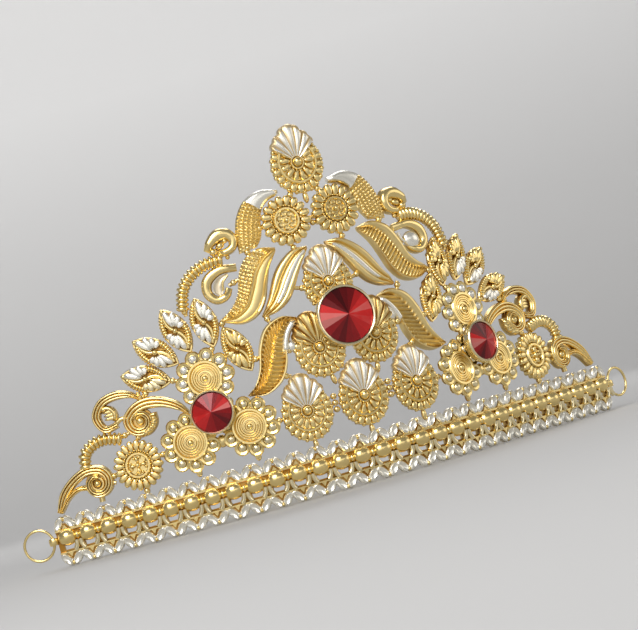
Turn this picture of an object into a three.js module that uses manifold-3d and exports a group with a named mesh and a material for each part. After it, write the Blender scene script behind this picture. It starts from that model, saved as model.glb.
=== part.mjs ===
// A bridal crown in gold-plated metal: a base band bent in plan, and on it a pointed
// openwork front of soldered rosettes, fans, leaves and scrolls with three round red
// stones. Millimetres. +Z is up, the front faces -Y, and the origin is on the surface
// that the crown stands on, below the middle of its box.
//
// Every piece is first laid out flat: "along" runs round the band from its middle, "up"
// is the height and "out" is the depth in front of the back face. Lengths along and up
// are counted in pitches, so one pitch drives the whole layout.

import * as THREE from "three";
import { mergeVertices } from "three/addons/utils/BufferGeometryUtils.js";
import Module from "manifold-3d";

const wasm = await Module();
wasm.setup();

// ---- driving dimensions ----
const PITCH = 5.5; // unit of the layout
const SCALLOP = 5.4; // width of one scallop of the band
const SCALLOPS = 31; // scallops along the band
const BAND_SHIFT = 0.9; // how far the band's middle lies to the right of the front's middle
const BEND_RADIUS = 80; // plan radius of the bent middle
const BEND_ANGLE = THREE.MathUtils.degToRad(27); // turn of each straight end
const BAND_UP = 2.24; // band height, in pitches
const LEAN = 0.03; // how far the front leans back for each millimetre of height
const GAP = 0.3; // clearance between neighbouring pieces
const PLATE = 1.3; // thickness of the cast openwork
const STRIP = 1.2; // thickness of the band's strip
const SCALLOP_WIRE = 2.0; // thickness of the scalloped wires on the band's edges
const DOME_OUT = 3.3; // how far the band's domes stand in front of its back

// ---- materials ----
const gold = new THREE.MeshStandardMaterial({ color: 0xe0b04a, roughness: 0.28, metalness: 1 });
const satinGold = new THREE.MeshStandardMaterial({ color: 0xd9a441, roughness: 0.42, metalness: 1 });
const paleGold = new THREE.MeshStandardMaterial({ color: 0xeed9a8, roughness: 0.22, metalness: 1 });
const redGlass = new THREE.MeshStandardMaterial({ color: 0xb3121c, roughness: 0.06, metalness: 0 });

// ---- solids ----
function toSolid(geometry) {
  const bare = new THREE.BufferGeometry();
  bare.setAttribute("position", geometry.getAttribute("position").clone());
  bare.setIndex(geometry.index);
  const merged = mergeVertices(bare, 1e-4);
  const corners = [];
  for (let i = 0; i < merged.index.count; i += 3) {
    const [a, b, c] = [0, 1, 2].map((k) => merged.index.getX(i + k));
    if (a !== b && b !== c && c !== a) corners.push(a, b, c);
  }
  const build = (order) =>
    new wasm.Manifold(
      new wasm.Mesh({
        numProp: 3,
        vertProperties: merged.getAttribute("position").array,
        triVerts: new Uint32Array(order),
      }),
    );
  const made = build(corners);
  return made.volume() > 0 ? made : build(corners.reverse());
}

function toGeometry(solid) {
  const mesh = solid.getMesh();
  const positions = new Float32Array(mesh.numVert * 3);
  for (let i = 0; i < mesh.numVert; i++) {
    const start = i * mesh.numProp;
    positions.set(mesh.vertProperties.subarray(start, start + 3), i * 3);
  }
  const geometry = new THREE.BufferGeometry();
  geometry.setAttribute("position", new THREE.BufferAttribute(positions, 3));
  geometry.setIndex(new THREE.BufferAttribute(mesh.triVerts, 1));
  return geometry;
}

function join(...geometries) {
  return toGeometry(geometries.map(toSolid).reduce((whole, next) => whole.add(next)));
}

// A closed skin through rings of equally many points, with flat ends.
function loft(rings, closed = false) {
  const sides = rings[0].length;
  const faces = [];
  const last = closed ? rings.length : rings.length - 1;
  for (let i = 0; i < last; i++) {
    for (let k = 0; k < sides; k++) {
      const here = i * sides;
      const there = ((i + 1) % rings.length) * sides;
      const next = (k + 1) % sides;
      faces.push(here + k, here + next, there + next, here + k, there + next, there + k);
    }
  }
  if (!closed) {
    const end = last * sides;
    for (let k = 1; k < sides - 1; k++) {
      faces.push(0, k + 1, k, end, end + k, end + k + 1);
    }
  }
  const geometry = new THREE.BufferGeometry().setFromPoints(rings.flat());
  geometry.setIndex(faces);
  return geometry;
}

// A plate made of flat cells that share corners: each cell is a list of [along, up].
function plate(cells, backOut, frontOut) {
  const numbers = new Map();
  const corners = [];
  const number = ([along, up]) => {
    const key = along.toFixed(4) + " " + up.toFixed(4);
    if (!numbers.has(key)) {
      numbers.set(key, corners.length);
      corners.push([along * PITCH, up * PITCH]);
    }
    return numbers.get(key);
  };
  const rings = cells.map((cell) => cell.map(number));
  const edges = new Set(rings.flatMap((r) => r.map((a, k) => a + " " + r[(k + 1) % r.length])));
  const count = corners.length;
  const faces = [];
  for (const ring of rings) {
    for (let k = 1; k < ring.length - 1; k++) {
      faces.push(ring[0], ring[k], ring[k + 1]);
      faces.push(count + ring[0], count + ring[k + 1], count + ring[k]);
    }
    ring.forEach((a, k) => {
      const b = ring[(k + 1) % ring.length];
      if (!edges.has(b + " " + a)) faces.push(b, a, count + a, b, count + a, count + b);
    });
  }
  const front = corners.map(([x, y]) => new THREE.Vector3(x, y, frontOut));
  const back = corners.map(([x, y]) => new THREE.Vector3(x, y, backOut));
  const geometry = new THREE.BufferGeometry().setFromPoints([...front, ...back]);
  geometry.setIndex(faces);
  return geometry;
}

// A turned piece standing out along +Z: the profile is a list of [radius, out].
function turned(profile, segments, across = 0, up = 0) {
  const points = profile.map(([radius, out]) => new THREE.Vector2(radius, out));
  const geometry = new THREE.LatheGeometry(points, segments);
  geometry.rotateX(Math.PI / 2);
  geometry.translate(across, up, 0);
  return geometry;
}

// A disc with a lobed rim, one lobe for each bead or petal.
function lobedDisc(lobes, radius, notch, backOut, frontOut, across = 0, up = 0) {
  const shape = new THREE.Shape();
  for (let i = 0; i < 2 * lobes; i++) {
    const reach = i % 2 ? radius - notch : radius;
    const angle = (i * Math.PI) / lobes + Math.PI / 2;
    const [x, y] = [reach * Math.cos(angle), reach * Math.sin(angle)];
    if (i) shape.lineTo(x, y);
    else shape.moveTo(x, y);
  }
  const disc = new THREE.ExtrudeGeometry(shape, { depth: frontOut - backOut, bevelEnabled: false });
  disc.translate(across, up, backOut);
  return disc;
}

// A bar that follows a smooth curve through points [along, up] in pitches. Its section is
// a six-sided oval, as wide as width and as deep as depth, and it may thin towards its end.
function strand(points, { width, depth, out, steps, endShare = 1, closed = false }) {
  const path = new THREE.CatmullRomCurve3(
    points.map(([along, up]) => new THREE.Vector3(along * PITCH, up * PITCH, out)),
    closed,
    "centripetal",
  );
  const rings = [];
  const count = closed ? steps : steps + 1;
  for (let i = 0; i < count; i++) {
    const t = i / steps;
    const size = 1 + (endShare - 1) * t;
    const centre = path.getPointAt(t);
    const heading = path.getTangentAt(t);
    const side = new THREE.Vector3(-heading.y, heading.x, 0);
    const ring = [];
    for (let k = 0; k < 6; k++) {
      const turn = (k * Math.PI) / 3;
      const point = centre.clone().addScaledVector(side, 0.5 * width * size * Math.cos(turn));
      point.z += 0.5 * depth * size * Math.sin(turn);
      ring.push(point);
    }
    rings.push(ring);
  }
  return loft(rings, closed);
}

// A leaf between two edge curves that run from its root to its tip, both lists of
// [along, up] in pitches, with a raised rib between them.
function blade(outerEdge, innerEdge, { edgeOut, ribOut, steps, ribShare = 0.5 }) {
  const curve = (points) =>
    new THREE.CatmullRomCurve3(
      points.map(([along, up]) => new THREE.Vector3(along * PITCH, up * PITCH, 0)),
      false,
      "centripetal",
    );
  const outer = curve(outerEdge);
  const inner = curve(innerEdge);
  const rings = [];
  for (let i = 0; i <= steps; i++) {
    const a = outer.getPointAt(i / steps);
    const b = inner.getPointAt(i / steps);
    const rib = a.clone().lerp(b, ribShare);
    const swell = Math.min(1, a.distanceTo(b) / PITCH / 0.6);
    const ribHere = edgeOut + (ribOut - edgeOut) * swell;
    rings.push([
      new THREE.Vector3(a.x, a.y, 0),
      new THREE.Vector3(b.x, b.y, 0),
      new THREE.Vector3(b.x, b.y, edgeOut),
      new THREE.Vector3(rib.x, rib.y, ribHere),
      new THREE.Vector3(a.x, a.y, edgeOut),
    ]);
  }
  return loft(rings);
}

// ---- the bent surface that everything is mounted on ----
function planAngle(along) {
  return THREE.MathUtils.clamp(along / BEND_RADIUS, -BEND_ANGLE, BEND_ANGLE);
}

function planPoint(along) {
  const angle = planAngle(along);
  const straight = along - angle * BEND_RADIUS;
  const x = BEND_RADIUS * Math.sin(angle) + straight * Math.cos(angle);
  const y = BEND_RADIUS * (1 - Math.cos(angle)) + straight * Math.sin(angle);
  return new THREE.Vector2(x, y);
}

function leanBack(up) {
  return LEAN * Math.max(0, up - BAND_UP * PITCH);
}

// Bends a flat-made piece round the plan curve and leans it back; side -1 mirrors it, and
// shift moves it along the curve by so many pitches.
function bent(geometry, side, shift) {
  const made = toGeometry(toSolid(geometry));
  const place = made.getAttribute("position");
  for (let i = 0; i < place.count; i++) {
    const along = side * place.getX(i) + shift * PITCH;
    const up = place.getY(i);
    const out = place.getZ(i) - leanBack(up);
    const angle = planAngle(along);
    const foot = planPoint(along);
    place.setXYZ(i, foot.x + out * Math.sin(angle), foot.y - out * Math.cos(angle), up);
  }
  if (side < 0) made.index.array.reverse();
  return made;
}

const crown = new THREE.Group();
const standing = new THREE.Group();
crown.add(standing);

function addBent(name, material, geometry, { side = 1, shift = 0 } = {}) {
  const mesh = new THREE.Mesh(bent(geometry, side, shift), material);
  mesh.name = name;
  standing.add(mesh);
}

// Mounts a rigid piece flat against the bent surface at [along, up] in pitches.
function addMounted(name, material, geometry, [along, up], { out = 0, roll = 0 } = {}) {
  const station = new THREE.Group();
  const foot = planPoint(along * PITCH);
  station.position.set(foot.x, foot.y, up * PITCH);
  station.rotation.z = planAngle(along * PITCH);
  const easel = new THREE.Group();
  easel.rotation.x = Math.PI / 2 - Math.atan(LEAN) * (up > BAND_UP ? 1 : 0);
  easel.position.y = leanBack(up * PITCH);
  const mesh = new THREE.Mesh(toGeometry(toSolid(geometry)), material);
  mesh.name = name;
  mesh.position.z = out;
  mesh.rotation.z = roll;
  easel.add(mesh);
  station.add(easel);
  standing.add(station);
}

const SIDES = [
  { side: -1, label: "left" },
  { side: 1, label: "right" },
];

// ---- base band: pierced strip, scalloped wires on both edges, a row of domes ----
function baseBand() {
  const strip = [];
  const lowerWire = [];
  const upperWire = [];
  const half = (SCALLOPS - 1) / 2;
  const domes = [];
  for (let k = -half; k <= half; k++) {
    const middle = BAND_SHIFT + k * SCALLOP;
    const place = (points) =>
      points.map(([along, up]) => [(middle + along * SCALLOP) / PITCH, up]);
    // One scallop's strip round its slot; its edges zigzag along inside the wires.
    const valley = 0.68;
    const slot = { wide: 0.27, low: 0.72, high: 0.93 };
    strip.push(
      place([[-0.5, valley], [0, 0.2], [0.5, valley], [slot.wide, slot.low], [-slot.wide, slot.low]]),
      place([
        [0.5, BAND_UP - valley],
        [0, BAND_UP - 0.2],
        [-0.5, BAND_UP - valley],
        [-slot.wide, slot.high],
        [slot.wide, slot.high],
      ]),
    );
    for (const hand of [-1, 1]) {
      const cheek = [
        [hand * 0.5, valley],
        [hand * 0.5, BAND_UP - valley],
        [hand * slot.wide, slot.high],
        [hand * slot.wide, slot.low],
      ];
      strip.push(place(hand > 0 ? cheek : cheek.reverse()));
    }
    // Lower scallop, flat where it stands, and its mirror image on the upper edge.
    const scallop = [
      [[-0.5, 0.5], [-0.18, 0], [0, 0.36], [-0.5, 0.86]],
      [[-0.18, 0], [0.18, 0], [0, 0.36]],
      [[0.18, 0], [0.5, 0.5], [0.5, 0.86], [0, 0.36]],
    ];
    scallop.forEach((cell) => {
      lowerWire.push(place(cell));
      upperWire.push(place(cell.map(([along, up]) => [along, BAND_UP - up]).reverse()));
    });
    const radius = 0.38 * PITCH;
    const profile = [
      [0, 0.5],
      [radius, 0.5],
      [0.8 * radius, 0.75 * DOME_OUT],
      [0, DOME_OUT],
    ];
    domes.push(turned(profile, 6, middle, 1.33 * PITCH));
  }
  return join(
    plate(strip, 0, STRIP),
    plate(lowerWire, 0.2, SCALLOP_WIRE),
    plate(upperWire, 0.2, SCALLOP_WIRE),
    ...domes,
    endEye(-1),
    endEye(1),
  );
}

// An upright eye is soldered to each end of the band, with a loose ring through it.
const EYE = { radius: 1.25, bore: 0.85, half: 0.9, overlap: 0.3, out: 1.2, up: 1.22 };
const EYE_ALONG = (SCALLOPS / 2) * SCALLOP + EYE.radius - EYE.overlap;
const RING = { radius: 3.8, wire: 0.35 };

function endEye(side) {
  const section = [
    [EYE.bore, -EYE.half],
    [EYE.radius, -EYE.half],
    [EYE.radius, EYE.half],
    [EYE.bore, EYE.half],
    [EYE.bore, -EYE.half],
  ].map(([radius, up]) => new THREE.Vector2(radius, up));
  const eye = new THREE.LatheGeometry(section, 10);
  eye.translate(BAND_SHIFT + side * EYE_ALONG, EYE.up * PITCH, EYE.out);
  return eye;
}

addBent("base_band", gold, baseBand());
for (const { side, label } of SIDES) {
  const ring = new THREE.TorusGeometry(RING.radius, RING.wire, 5, 14);
  const along = BAND_SHIFT + side * (EYE_ALONG + RING.radius);
  addMounted(`end_ring_${label}`, gold, ring, [along / PITCH, EYE.up], { out: EYE.out });
}

// ---- fans: a beaded disc with a domed flower, and a fluted shell rising from it ----
const FAN = { radius: 1.2 * PITCH, beads: 12, ring: 0.86 * PITCH, dome: 0.27 * PITCH };
const FAN_RIM = { drop: 0.14 * PITCH, taller: 1.07 };

const FAN_REACH = FAN.radius * FAN_RIM.taller + FAN_RIM.drop;

function fanShell({ flutes, halfAngle, reach, shoulder, front }) {
  const rings = [];
  for (let i = 0; i <= 2 * flutes; i++) {
    const angle = halfAngle * (i / flutes - 1);
    const arch = shoulder + (reach - shoulder) * (1 - Math.abs(angle) / halfAngle) ** 1.3;
    const ridge = i % 2 === 1;
    const far = (ridge ? arch : arch - 0.09) * PITCH;
    const near = 0.2 * PITCH;
    const at = (radius, out) =>
      new THREE.Vector3(-radius * Math.sin(angle), radius * Math.cos(angle), out);
    const low = front - 0.7;
    rings.push([at(near, 0.3), at(far, 0.3), at(far, ridge ? front : low), at(near, low)]);
  }
  return loft(rings);
}

function fan({ post = 0, wider = 1, taller = 1 } = {}) {
  const rim = lobedDisc(FAN.beads, FAN.radius, 0.5, 0, 1.7);
  rim.scale(1, FAN_RIM.taller, 1).translate(0, -FAN_RIM.drop, 0);
  const flower = turned(
    [
      [0, 0.4],
      [FAN.ring + 0.4, 0.4],
      [FAN.ring, 2.35],
      [FAN.ring - 0.8, 1.9],
      [FAN.dome, 2.4],
      [0, 3.5],
    ],
    7,
  );
  const shell = fanShell({
    flutes: 5,
    halfAngle: THREE.MathUtils.degToRad(52),
    reach: 1.68,
    shoulder: 1.2,
    front: 2.45,
  });
  const pieces = [rim, flower, shell];
  if (post) {
    const leg = new THREE.BoxGeometry(0.34 * PITCH, post, PLATE);
    leg.translate(0, -FAN_REACH - post / 2 + 0.3, PLATE / 2);
    pieces.push(leg);
  }
  return join(...pieces).scale(wider, taller, 1);
}

const BAND_FAN_UP = 3.86;
const fanPost = (BAND_FAN_UP - BAND_UP) * PITCH - FAN_REACH - GAP + 0.3;
addMounted("band_fan_middle", gold, fan({ post: fanPost }), [0, BAND_FAN_UP]);
for (const { side, label } of SIDES) {
  addMounted(`band_fan_${label}`, gold, fan({ post: fanPost }), [side * 2.66, BAND_FAN_UP]);
  addMounted(`cradle_fan_${label}`, gold, fan(), [side * 1.36, 6.46], {
    roll: -side * THREE.MathUtils.degToRad(10),
  });
}
addMounted("upper_fan", gold, fan(), [-0.12, 9.22]);
addMounted("crest_fan", gold, fan({ wider: 1.06, taller: 1.04 }), [0.03, 14.78]);

// ---- stones and their settings ----
const CENTRE_STONE = { radius: 6.9, wall: 0.45, back: 1.9, front: 2.0, out: 2.8 };
const SIDE_STONE = { radius: 4.8, wall: 0.4, back: 1.4, front: 1.5, out: 2.35 };
const STONES = [
  { name: "centre", at: [0, 7.46], ...CENTRE_STONE },
  { name: "side_left", at: [-6.62, 4.88], ...SIDE_STONE },
  { name: "side_right", at: [6.62, 4.78], ...SIDE_STONE },
];
const STONE_FACETS = 14;
const SETTING_FLOOR = 0.5;

for (const stone of STONES) {
  const girdle = SETTING_FLOOR + GAP + stone.back;
  const outer = stone.radius + GAP + stone.wall;
  const setting = turned(
    [
      [0, 0],
      [outer - 0.6, 0],
      [outer, 0.9],
      [outer, girdle + 0.6],
      [stone.radius + GAP, girdle + 0.6],
      [stone.radius + GAP, SETTING_FLOOR + 0.8],
      [0.45 * stone.radius, SETTING_FLOOR],
      [0, SETTING_FLOOR],
    ],
    STONE_FACETS,
  );
  addMounted(`${stone.name}_setting`, paleGold, setting, stone.at, { out: stone.out });
  const glass = turned(
    [
      [0, -stone.back],
      [stone.radius, -0.15],
      [stone.radius, 0.15],
      [0, stone.front],
    ],
    STONE_FACETS,
  );
  addMounted(`${stone.name}_stone`, redGlass, glass, stone.at, { out: stone.out + girdle });
}

// ---- flowers of the crest and rosettes at the ends ----
function flower({ radius, petals, ring }) {
  const petalsDisc = lobedDisc(petals, radius, 0.7, 0, 1.5);
  const heart = turned(
    [
      [0, 0.4],
      [0.8 * radius, 0.4],
      [0.78 * radius, 1.9],
      [ring + 0.3, 2.2],
      [ring, 2.8],
      [ring - 0.5, 2.3],
      [0, 3.0],
    ],
    8,
  );
  return join(petalsDisc, heart);
}

for (const { side, label } of SIDES) {
  const crestFlower = flower({ radius: 6.4, petals: 15, ring: 0.6 * PITCH });
  addMounted(`crest_flower_${label}`, gold, crestFlower, [side * 1.21, 12.3]);
  const endRosette = flower({ radius: 6.3, petals: 12, ring: 0.55 * PITCH });
  addMounted(`end_rosette_${label}`, gold, endRosette, [side * 10.56, 3.52]);
}

// ---- trefoils: three bead-edged filigree discs round each side stone ----
const TREFOIL = { up: 4.8, radius: 1.3 * PITCH, beads: 10, core: 0.75 * PITCH, middle: 4 };
const TREFOIL_DISCS = [
  [0, 1.64],
  [1.38, -0.95],
  [-1.38, -0.95],
];

function trefoil() {
  const discs = TREFOIL_DISCS.flatMap(([discAlong, discUp]) => {
    const across = discAlong * PITCH;
    const up = discUp * PITCH;
    const core = [
      [0, 0.3],
      [TREFOIL.core, 0.3],
      [TREFOIL.core, 2.0],
      [0, 2.4],
    ];
    return [
      lobedDisc(TREFOIL.beads, TREFOIL.radius, 1.1, 0, 1.6, across, up),
      turned(core, 9, across, up),
    ];
  });
  const middle = turned([[0, 0], [TREFOIL.middle, 0], [TREFOIL.middle, PLATE], [0, PLATE]], 8);
  const [, [discAlong, discUp]] = TREFOIL_DISCS;
  const foot = (BAND_UP - TREFOIL.up) * PITCH + GAP;
  const root = discUp * PITCH - TREFOIL.radius + 0.6;
  const legs = [-1, 1].map((hand) => {
    const leg = new THREE.BoxGeometry(0.3 * PITCH, root - foot, PLATE);
    return leg.translate(hand * discAlong * PITCH, (root + foot) / 2, PLATE / 2);
  });
  return join(middle, ...discs, ...legs);
}
for (const { side, label } of SIDES) {
  addMounted(`trefoil_${label}`, gold, trefoil(), [side * 6.62, TREFOIL.up]);
}

// ---- almond buds that ray out above the trefoils ----
const ALMOND = { half: 1.2, halfWidth: 0.57 };
const ALMONDS = {
  left: [
    { along: 4.89, up: 7.32, tilt: 19 },
    { along: 6.01, up: 8.85, tilt: 8 },
    { along: 7.35, up: 8.84, tilt: 22 },
    { along: 8.5, up: 8.16, tilt: 50 },
    { along: 9.22, up: 7.14, tilt: 70 },
  ],
  right: [
    { along: 4.9, up: 7.35, tilt: 18 },
    { along: 5.94, up: 8.88, tilt: 6 },
    { along: 7.25, up: 8.92, tilt: 25 },
    { along: 8.32, up: 8.31, tilt: 47 },
    { along: 9.1, up: 7.14, tilt: 70 },
  ],
};

function almond() {
  const shape = new THREE.Shape();
  const tip = ALMOND.half * PITCH;
  const bulge = (ALMOND.halfWidth * PITCH) / 0.75;
  shape.moveTo(0, -tip);
  shape.bezierCurveTo(bulge, -0.45 * tip, bulge, 0.45 * tip, 0, tip);
  shape.bezierCurveTo(-bulge, 0.45 * tip, -bulge, -0.45 * tip, 0, -tip);
  const body = new THREE.ExtrudeGeometry(shape, { depth: 1.5, bevelEnabled: false, curveSegments: 5 });
  const heart = turned(
    [
      [0, 0.4],
      [0.4 * PITCH, 1.2],
      [0.16 * PITCH, 2.0],
      [0, 2.6],
    ],
    6,
  );
  return join(body, heart);
}
for (const { side, label } of SIDES) {
  ALMONDS[label].forEach(({ along, up, tilt }, i) => {
    addMounted(`almond_${label}_${i + 1}`, gold, almond(), [side * along, up], {
      roll: -side * THREE.MathUtils.degToRad(tilt),
    });
  });
}

// ---- leaves and plumes, mirrored; the right one of a pair may sit nearer the middle ----
const LEAVES = [
  {
    name: "lower_leaf",
    outer: [[1.98, 8.02], [2.7, 8.22], [3.5, 7.9], [3.98, 7.1], [4.2, 6.2], [4.55, 5.55], [5.0, 5.18]],
    inner: [[2.0, 7.9], [2.5, 7.5], [2.75, 6.9], [2.9, 6.1], [3.3, 5.42], [4.1, 5.0], [4.9, 5.12]],
  },
  {
    name: "outer_leaf",
    outer: [[2.05, 11.28], [2.8, 11.42], [3.55, 11.1], [4.0, 10.4], [4.25, 9.65], [4.65, 9.15], [5.3, 8.74]],
    inner: [[2.05, 11.12], [2.5, 10.5], [2.8, 9.8], [3.1, 9.05], [3.6, 8.5], [4.3, 8.32], [5.1, 8.58]],
  },
  {
    name: "inner_leaf",
    outer: [[0.6, 11.0], [1.3, 11.0], [1.95, 10.62], [2.42, 10.12], [2.74, 9.55], [2.98, 9.08], [3.45, 8.42]],
    inner: [[0.6, 10.86], [1.0, 10.35], [1.38, 9.75], [1.66, 9.28], [2.05, 8.8], [2.6, 8.48], [3.35, 8.33]],
    nearer: 0.3,
  },
  {
    name: "plume",
    outer: [[1.27, 13.78], [2.05, 13.92], [2.8, 13.62], [3.28, 13.0], [3.52, 12.25], [3.6, 11.42]],
    inner: [[1.27, 13.62], [1.9, 13.46], [2.3, 13.08], [2.5, 12.5], [2.6, 12.0], [2.85, 11.54]],
  },
];
for (const leaf of LEAVES) {
  const body = blade(leaf.outer, leaf.inner, { edgeOut: 1.4, ribOut: 2.4, steps: 8 });
  for (const { side, label } of SIDES) {
    const shift = side > 0 ? -(leaf.nearer ?? 0) : 0;
    addBent(`${leaf.name}_${label}`, satinGold, body, { side, shift });
  }
}

// ---- scrolls, curls, ropes and buds, again given for the right side ----
const ROPE = { width: 2.3, depth: 2.3, out: 1.2, steps: 6 };
const shoulderRope = strand([[4.6, 11.37], [5.3, 11.34], [6.0, 11.06], [6.55, 10.5], [6.78, 9.7]], ROPE);
const endRope = strand([[11.1, 4.88], [11.8, 5.05], [12.45, 4.9], [12.84, 4.54], [12.9, 4.08]], ROPE);

const leafCurl = strand(
  [[3.96, 10.82], [4.8, 10.9], [5.45, 10.55], [5.55, 10.0], [5.2, 9.62], [4.7, 9.72], [4.5, 10.1]],
  { width: 1.9, depth: 1.8, out: 0.95, steps: 9, endShare: 0.8 },
);

function bud(across, up, radius) {
  const profile = [
    [0, 0.1],
    [0.8 * radius, 0.1],
    [radius, 1.0],
    [0.7 * radius, 2.2],
    [0, 2.8],
  ];
  return turned(profile, 8, across * PITCH, up * PITCH);
}

// The shoulder bud has a round head beside the plume and a tail towards the rope.
const podTail = strand([[4.12, 12.14], [4.65, 12.0], [4.98, 11.84]], {
  width: 0.8 * PITCH,
  depth: 2.4,
  out: 1.3,
  steps: 2,
  endShare: 0.55,
});
const shoulderBud = join(bud(4.12, 12.14, 0.46 * PITCH), podTail);

// The horn runs up from the band's end and rolls round a volute, which a post carries.
const hornOuter = strand([[14.6, 2.44], [14.15, 3.2], [13.5, 3.7], [12.8, 3.78], [12.25, 3.45]], {
  width: 1.2,
  depth: 1.6,
  out: 0.9,
  steps: 6,
});
const hornInner = strand([[14.48, 2.45], [14.0, 2.95], [13.5, 3.2], [13.0, 3.15]], {
  width: 0.9,
  depth: 1.3,
  out: 0.9,
  steps: 4,
});
const hornPost = strand([[12.6, 2.8], [12.6, 2.31]], { width: 1.4, depth: 1.4, out: 0.8, steps: 1 });
const endScroll = join(hornOuter, hornInner, bud(12.62, 3.24, 0.66 * PITCH), hornPost);

const curlScroll = join(
  strand([[9.98, 6.6], [10.8, 6.78], [11.5, 6.6], [11.86, 6.05], [11.6, 5.48], [11.08, 5.52]], {
    width: 1.6,
    depth: 1.8,
    out: 0.95,
    steps: 7,
    endShare: 0.8,
  }),
  bud(11.4, 6.02, 0.34 * PITCH),
);
const stemScroll = join(
  strand([[7.98, 5.55], [8.85, 5.98], [9.6, 6.06], [10.25, 5.85], [10.52, 5.35], [10.3, 4.9]], {
    width: 2.2,
    depth: 1.8,
    out: 0.95,
    steps: 8,
  }),
  bud(9.98, 5.4, 0.56 * PITCH),
);

// Some of them were soldered nearer to the middle on the right, by this many pitches.
const BENT_PIECES = [
  { name: "shoulder_rope", geometry: shoulderRope, nearer: 0.15 },
  { name: "end_rope", geometry: endRope, nearer: 0.2 },
  { name: "leaf_curl", geometry: leafCurl, nearer: 0.04 },
  { name: "shoulder_bud", geometry: shoulderBud, nearer: 0 },
  { name: "end_scroll", geometry: endScroll, nearer: 0 },
  { name: "curl_scroll", geometry: curlScroll, nearer: 0.3 },
  { name: "stem_scroll", geometry: stemScroll, nearer: 0.06 },
];
for (const { name, geometry, nearer } of BENT_PIECES) {
  for (const { side, label } of SIDES) {
    addBent(`${name}_${label}`, gold, geometry, { side, shift: side > 0 ? -nearer : 0 });
  }
}

// The origin is below the middle of the crown's box.
const extent = new THREE.Box3().setFromObject(standing);
standing.position.x = -(extent.min.x + extent.max.x) / 2;
standing.position.y = -(extent.min.y + extent.max.y) / 2;

export default crown;
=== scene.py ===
import functools
import math

import bpy
import numpy as np
from mathutils import Matrix, Vector


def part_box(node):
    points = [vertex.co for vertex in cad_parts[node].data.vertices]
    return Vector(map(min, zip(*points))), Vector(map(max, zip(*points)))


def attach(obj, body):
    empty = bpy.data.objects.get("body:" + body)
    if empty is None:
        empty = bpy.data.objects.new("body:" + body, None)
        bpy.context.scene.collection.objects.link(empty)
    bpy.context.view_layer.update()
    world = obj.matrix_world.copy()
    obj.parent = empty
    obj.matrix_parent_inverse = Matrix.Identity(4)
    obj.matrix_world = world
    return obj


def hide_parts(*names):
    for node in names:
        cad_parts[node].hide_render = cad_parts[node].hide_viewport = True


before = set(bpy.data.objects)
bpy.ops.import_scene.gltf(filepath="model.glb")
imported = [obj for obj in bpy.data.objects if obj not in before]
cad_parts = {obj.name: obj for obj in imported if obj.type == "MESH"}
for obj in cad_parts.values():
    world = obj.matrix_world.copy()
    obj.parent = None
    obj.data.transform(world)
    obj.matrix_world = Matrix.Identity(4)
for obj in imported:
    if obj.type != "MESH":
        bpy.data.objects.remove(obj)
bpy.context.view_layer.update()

# ---- sizes of the crown, in millimetres, read from its solids where they hold them ----
BAND_LOW, BAND_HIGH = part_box("base_band")
STONE_LOW, STONE_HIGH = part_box("centre_stone")
BAND_UP = 2.24  # band height, in pitches
PITCH = 1000 * (BAND_HIGH.z - BAND_LOW.z) / BAND_UP  # unit of the layout
SCALLOP = 5.4  # width of one scallop of the band
SCALLOPS = 31
BAND_SHIFT = 0.9  # how far the band's middle lies to the right of the front's middle
BEND_RADIUS = 80
BEND_ANGLE = math.radians(27)  # where the bend ends on each side and runs on straight
LEAN = 0.03  # how far the front leans back for each millimetre above the band
DOME_OUT = 3.3  # how far the band's domes stand out
MIDDLE_X = 500 * (STONE_LOW.x + STONE_HIGH.x)
MIDDLE_Y = 1000 * BAND_LOW.y + DOME_OUT

# ---- painted shade: heights in the work, and how light the plating is painted there ----
RECESS, HIGH_POINT = 0.55, 1.6
BACK, BACK_TONE = 0.25, 0.75


def height_shade(out):
    """0 in the recesses of the work, painted dark as shade, and 1 on its high points; the plain
    back is bright.
    """
    t = np.clip((out - RECESS) / (HIGH_POINT - RECESS), 0, 1)
    return np.where(out < BACK, BACK_TONE, t * t * (3 - 2 * t))


# ---- flat-made metalwork: points across, up and out in millimetres, and its faces ----
class Metal:
    facets = None  # a stone's painted light: how lit or dark each face is painted, one for each face

    def __init__(self, points, corners, sizes, tone=None):
        self.points = np.asarray(points, float).reshape(-1, 3)
        self.corners = np.asarray(corners, int).ravel()
        self.sizes = np.asarray(sizes, int).ravel()
        self.tone = height_shade(self.points[:, 2]) if tone is None else np.asarray(tone, float)

    def moved(self, across=0.0, up=0.0, out=0.0, turn=0.0, wider=1.0, taller=1.0):
        c, s = math.cos(turn), math.sin(turn)
        x, y, z = self.points.T
        x, y = x * wider, y * taller
        points = np.stack([c * x - s * y + across, s * x + c * y + up, z + out], 1)
        corners = self.corners[self.backward()] if wider * taller < 0 else self.corners
        made = Metal(points, corners, self.sizes, self.tone)
        made.facets = self.facets
        return made

    def starts(self):
        """For each corner, where its face starts and how many corners that face has."""
        first = np.repeat(np.cumsum(self.sizes) - self.sizes, self.sizes)
        return first, np.repeat(self.sizes, self.sizes)

    def backward(self):
        """The order of the corners that turns every face over."""
        first, size = self.starts()
        return 2 * first + size - 1 - np.arange(len(first))


def soldered(pieces):
    pieces = [p for p in pieces if len(p.points)]
    if len(pieces) == 1:
        return pieces[0]
    shift = np.cumsum([0] + [len(p.points) for p in pieces])
    return Metal(
        np.concatenate([p.points for p in pieces]),
        np.concatenate([p.corners + s for p, s in zip(pieces, shift)]),
        np.concatenate([p.sizes for p in pieces]),
        np.concatenate([p.tone for p in pieces]),
    )


def outward(metal):
    """The same piece with its faces turned out, by the sign of the room inside it."""
    p, c = metal.points, metal.corners
    first, size = metal.starts()
    at = np.arange(len(c))
    inside = at[(at > first) & (at < first + size - 1)]
    room = np.sum(p[c[first[inside]]] * np.cross(p[c[inside]], p[c[inside + 1]]))
    if room < 0:
        metal.corners = c[metal.backward()]
    return metal


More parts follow.
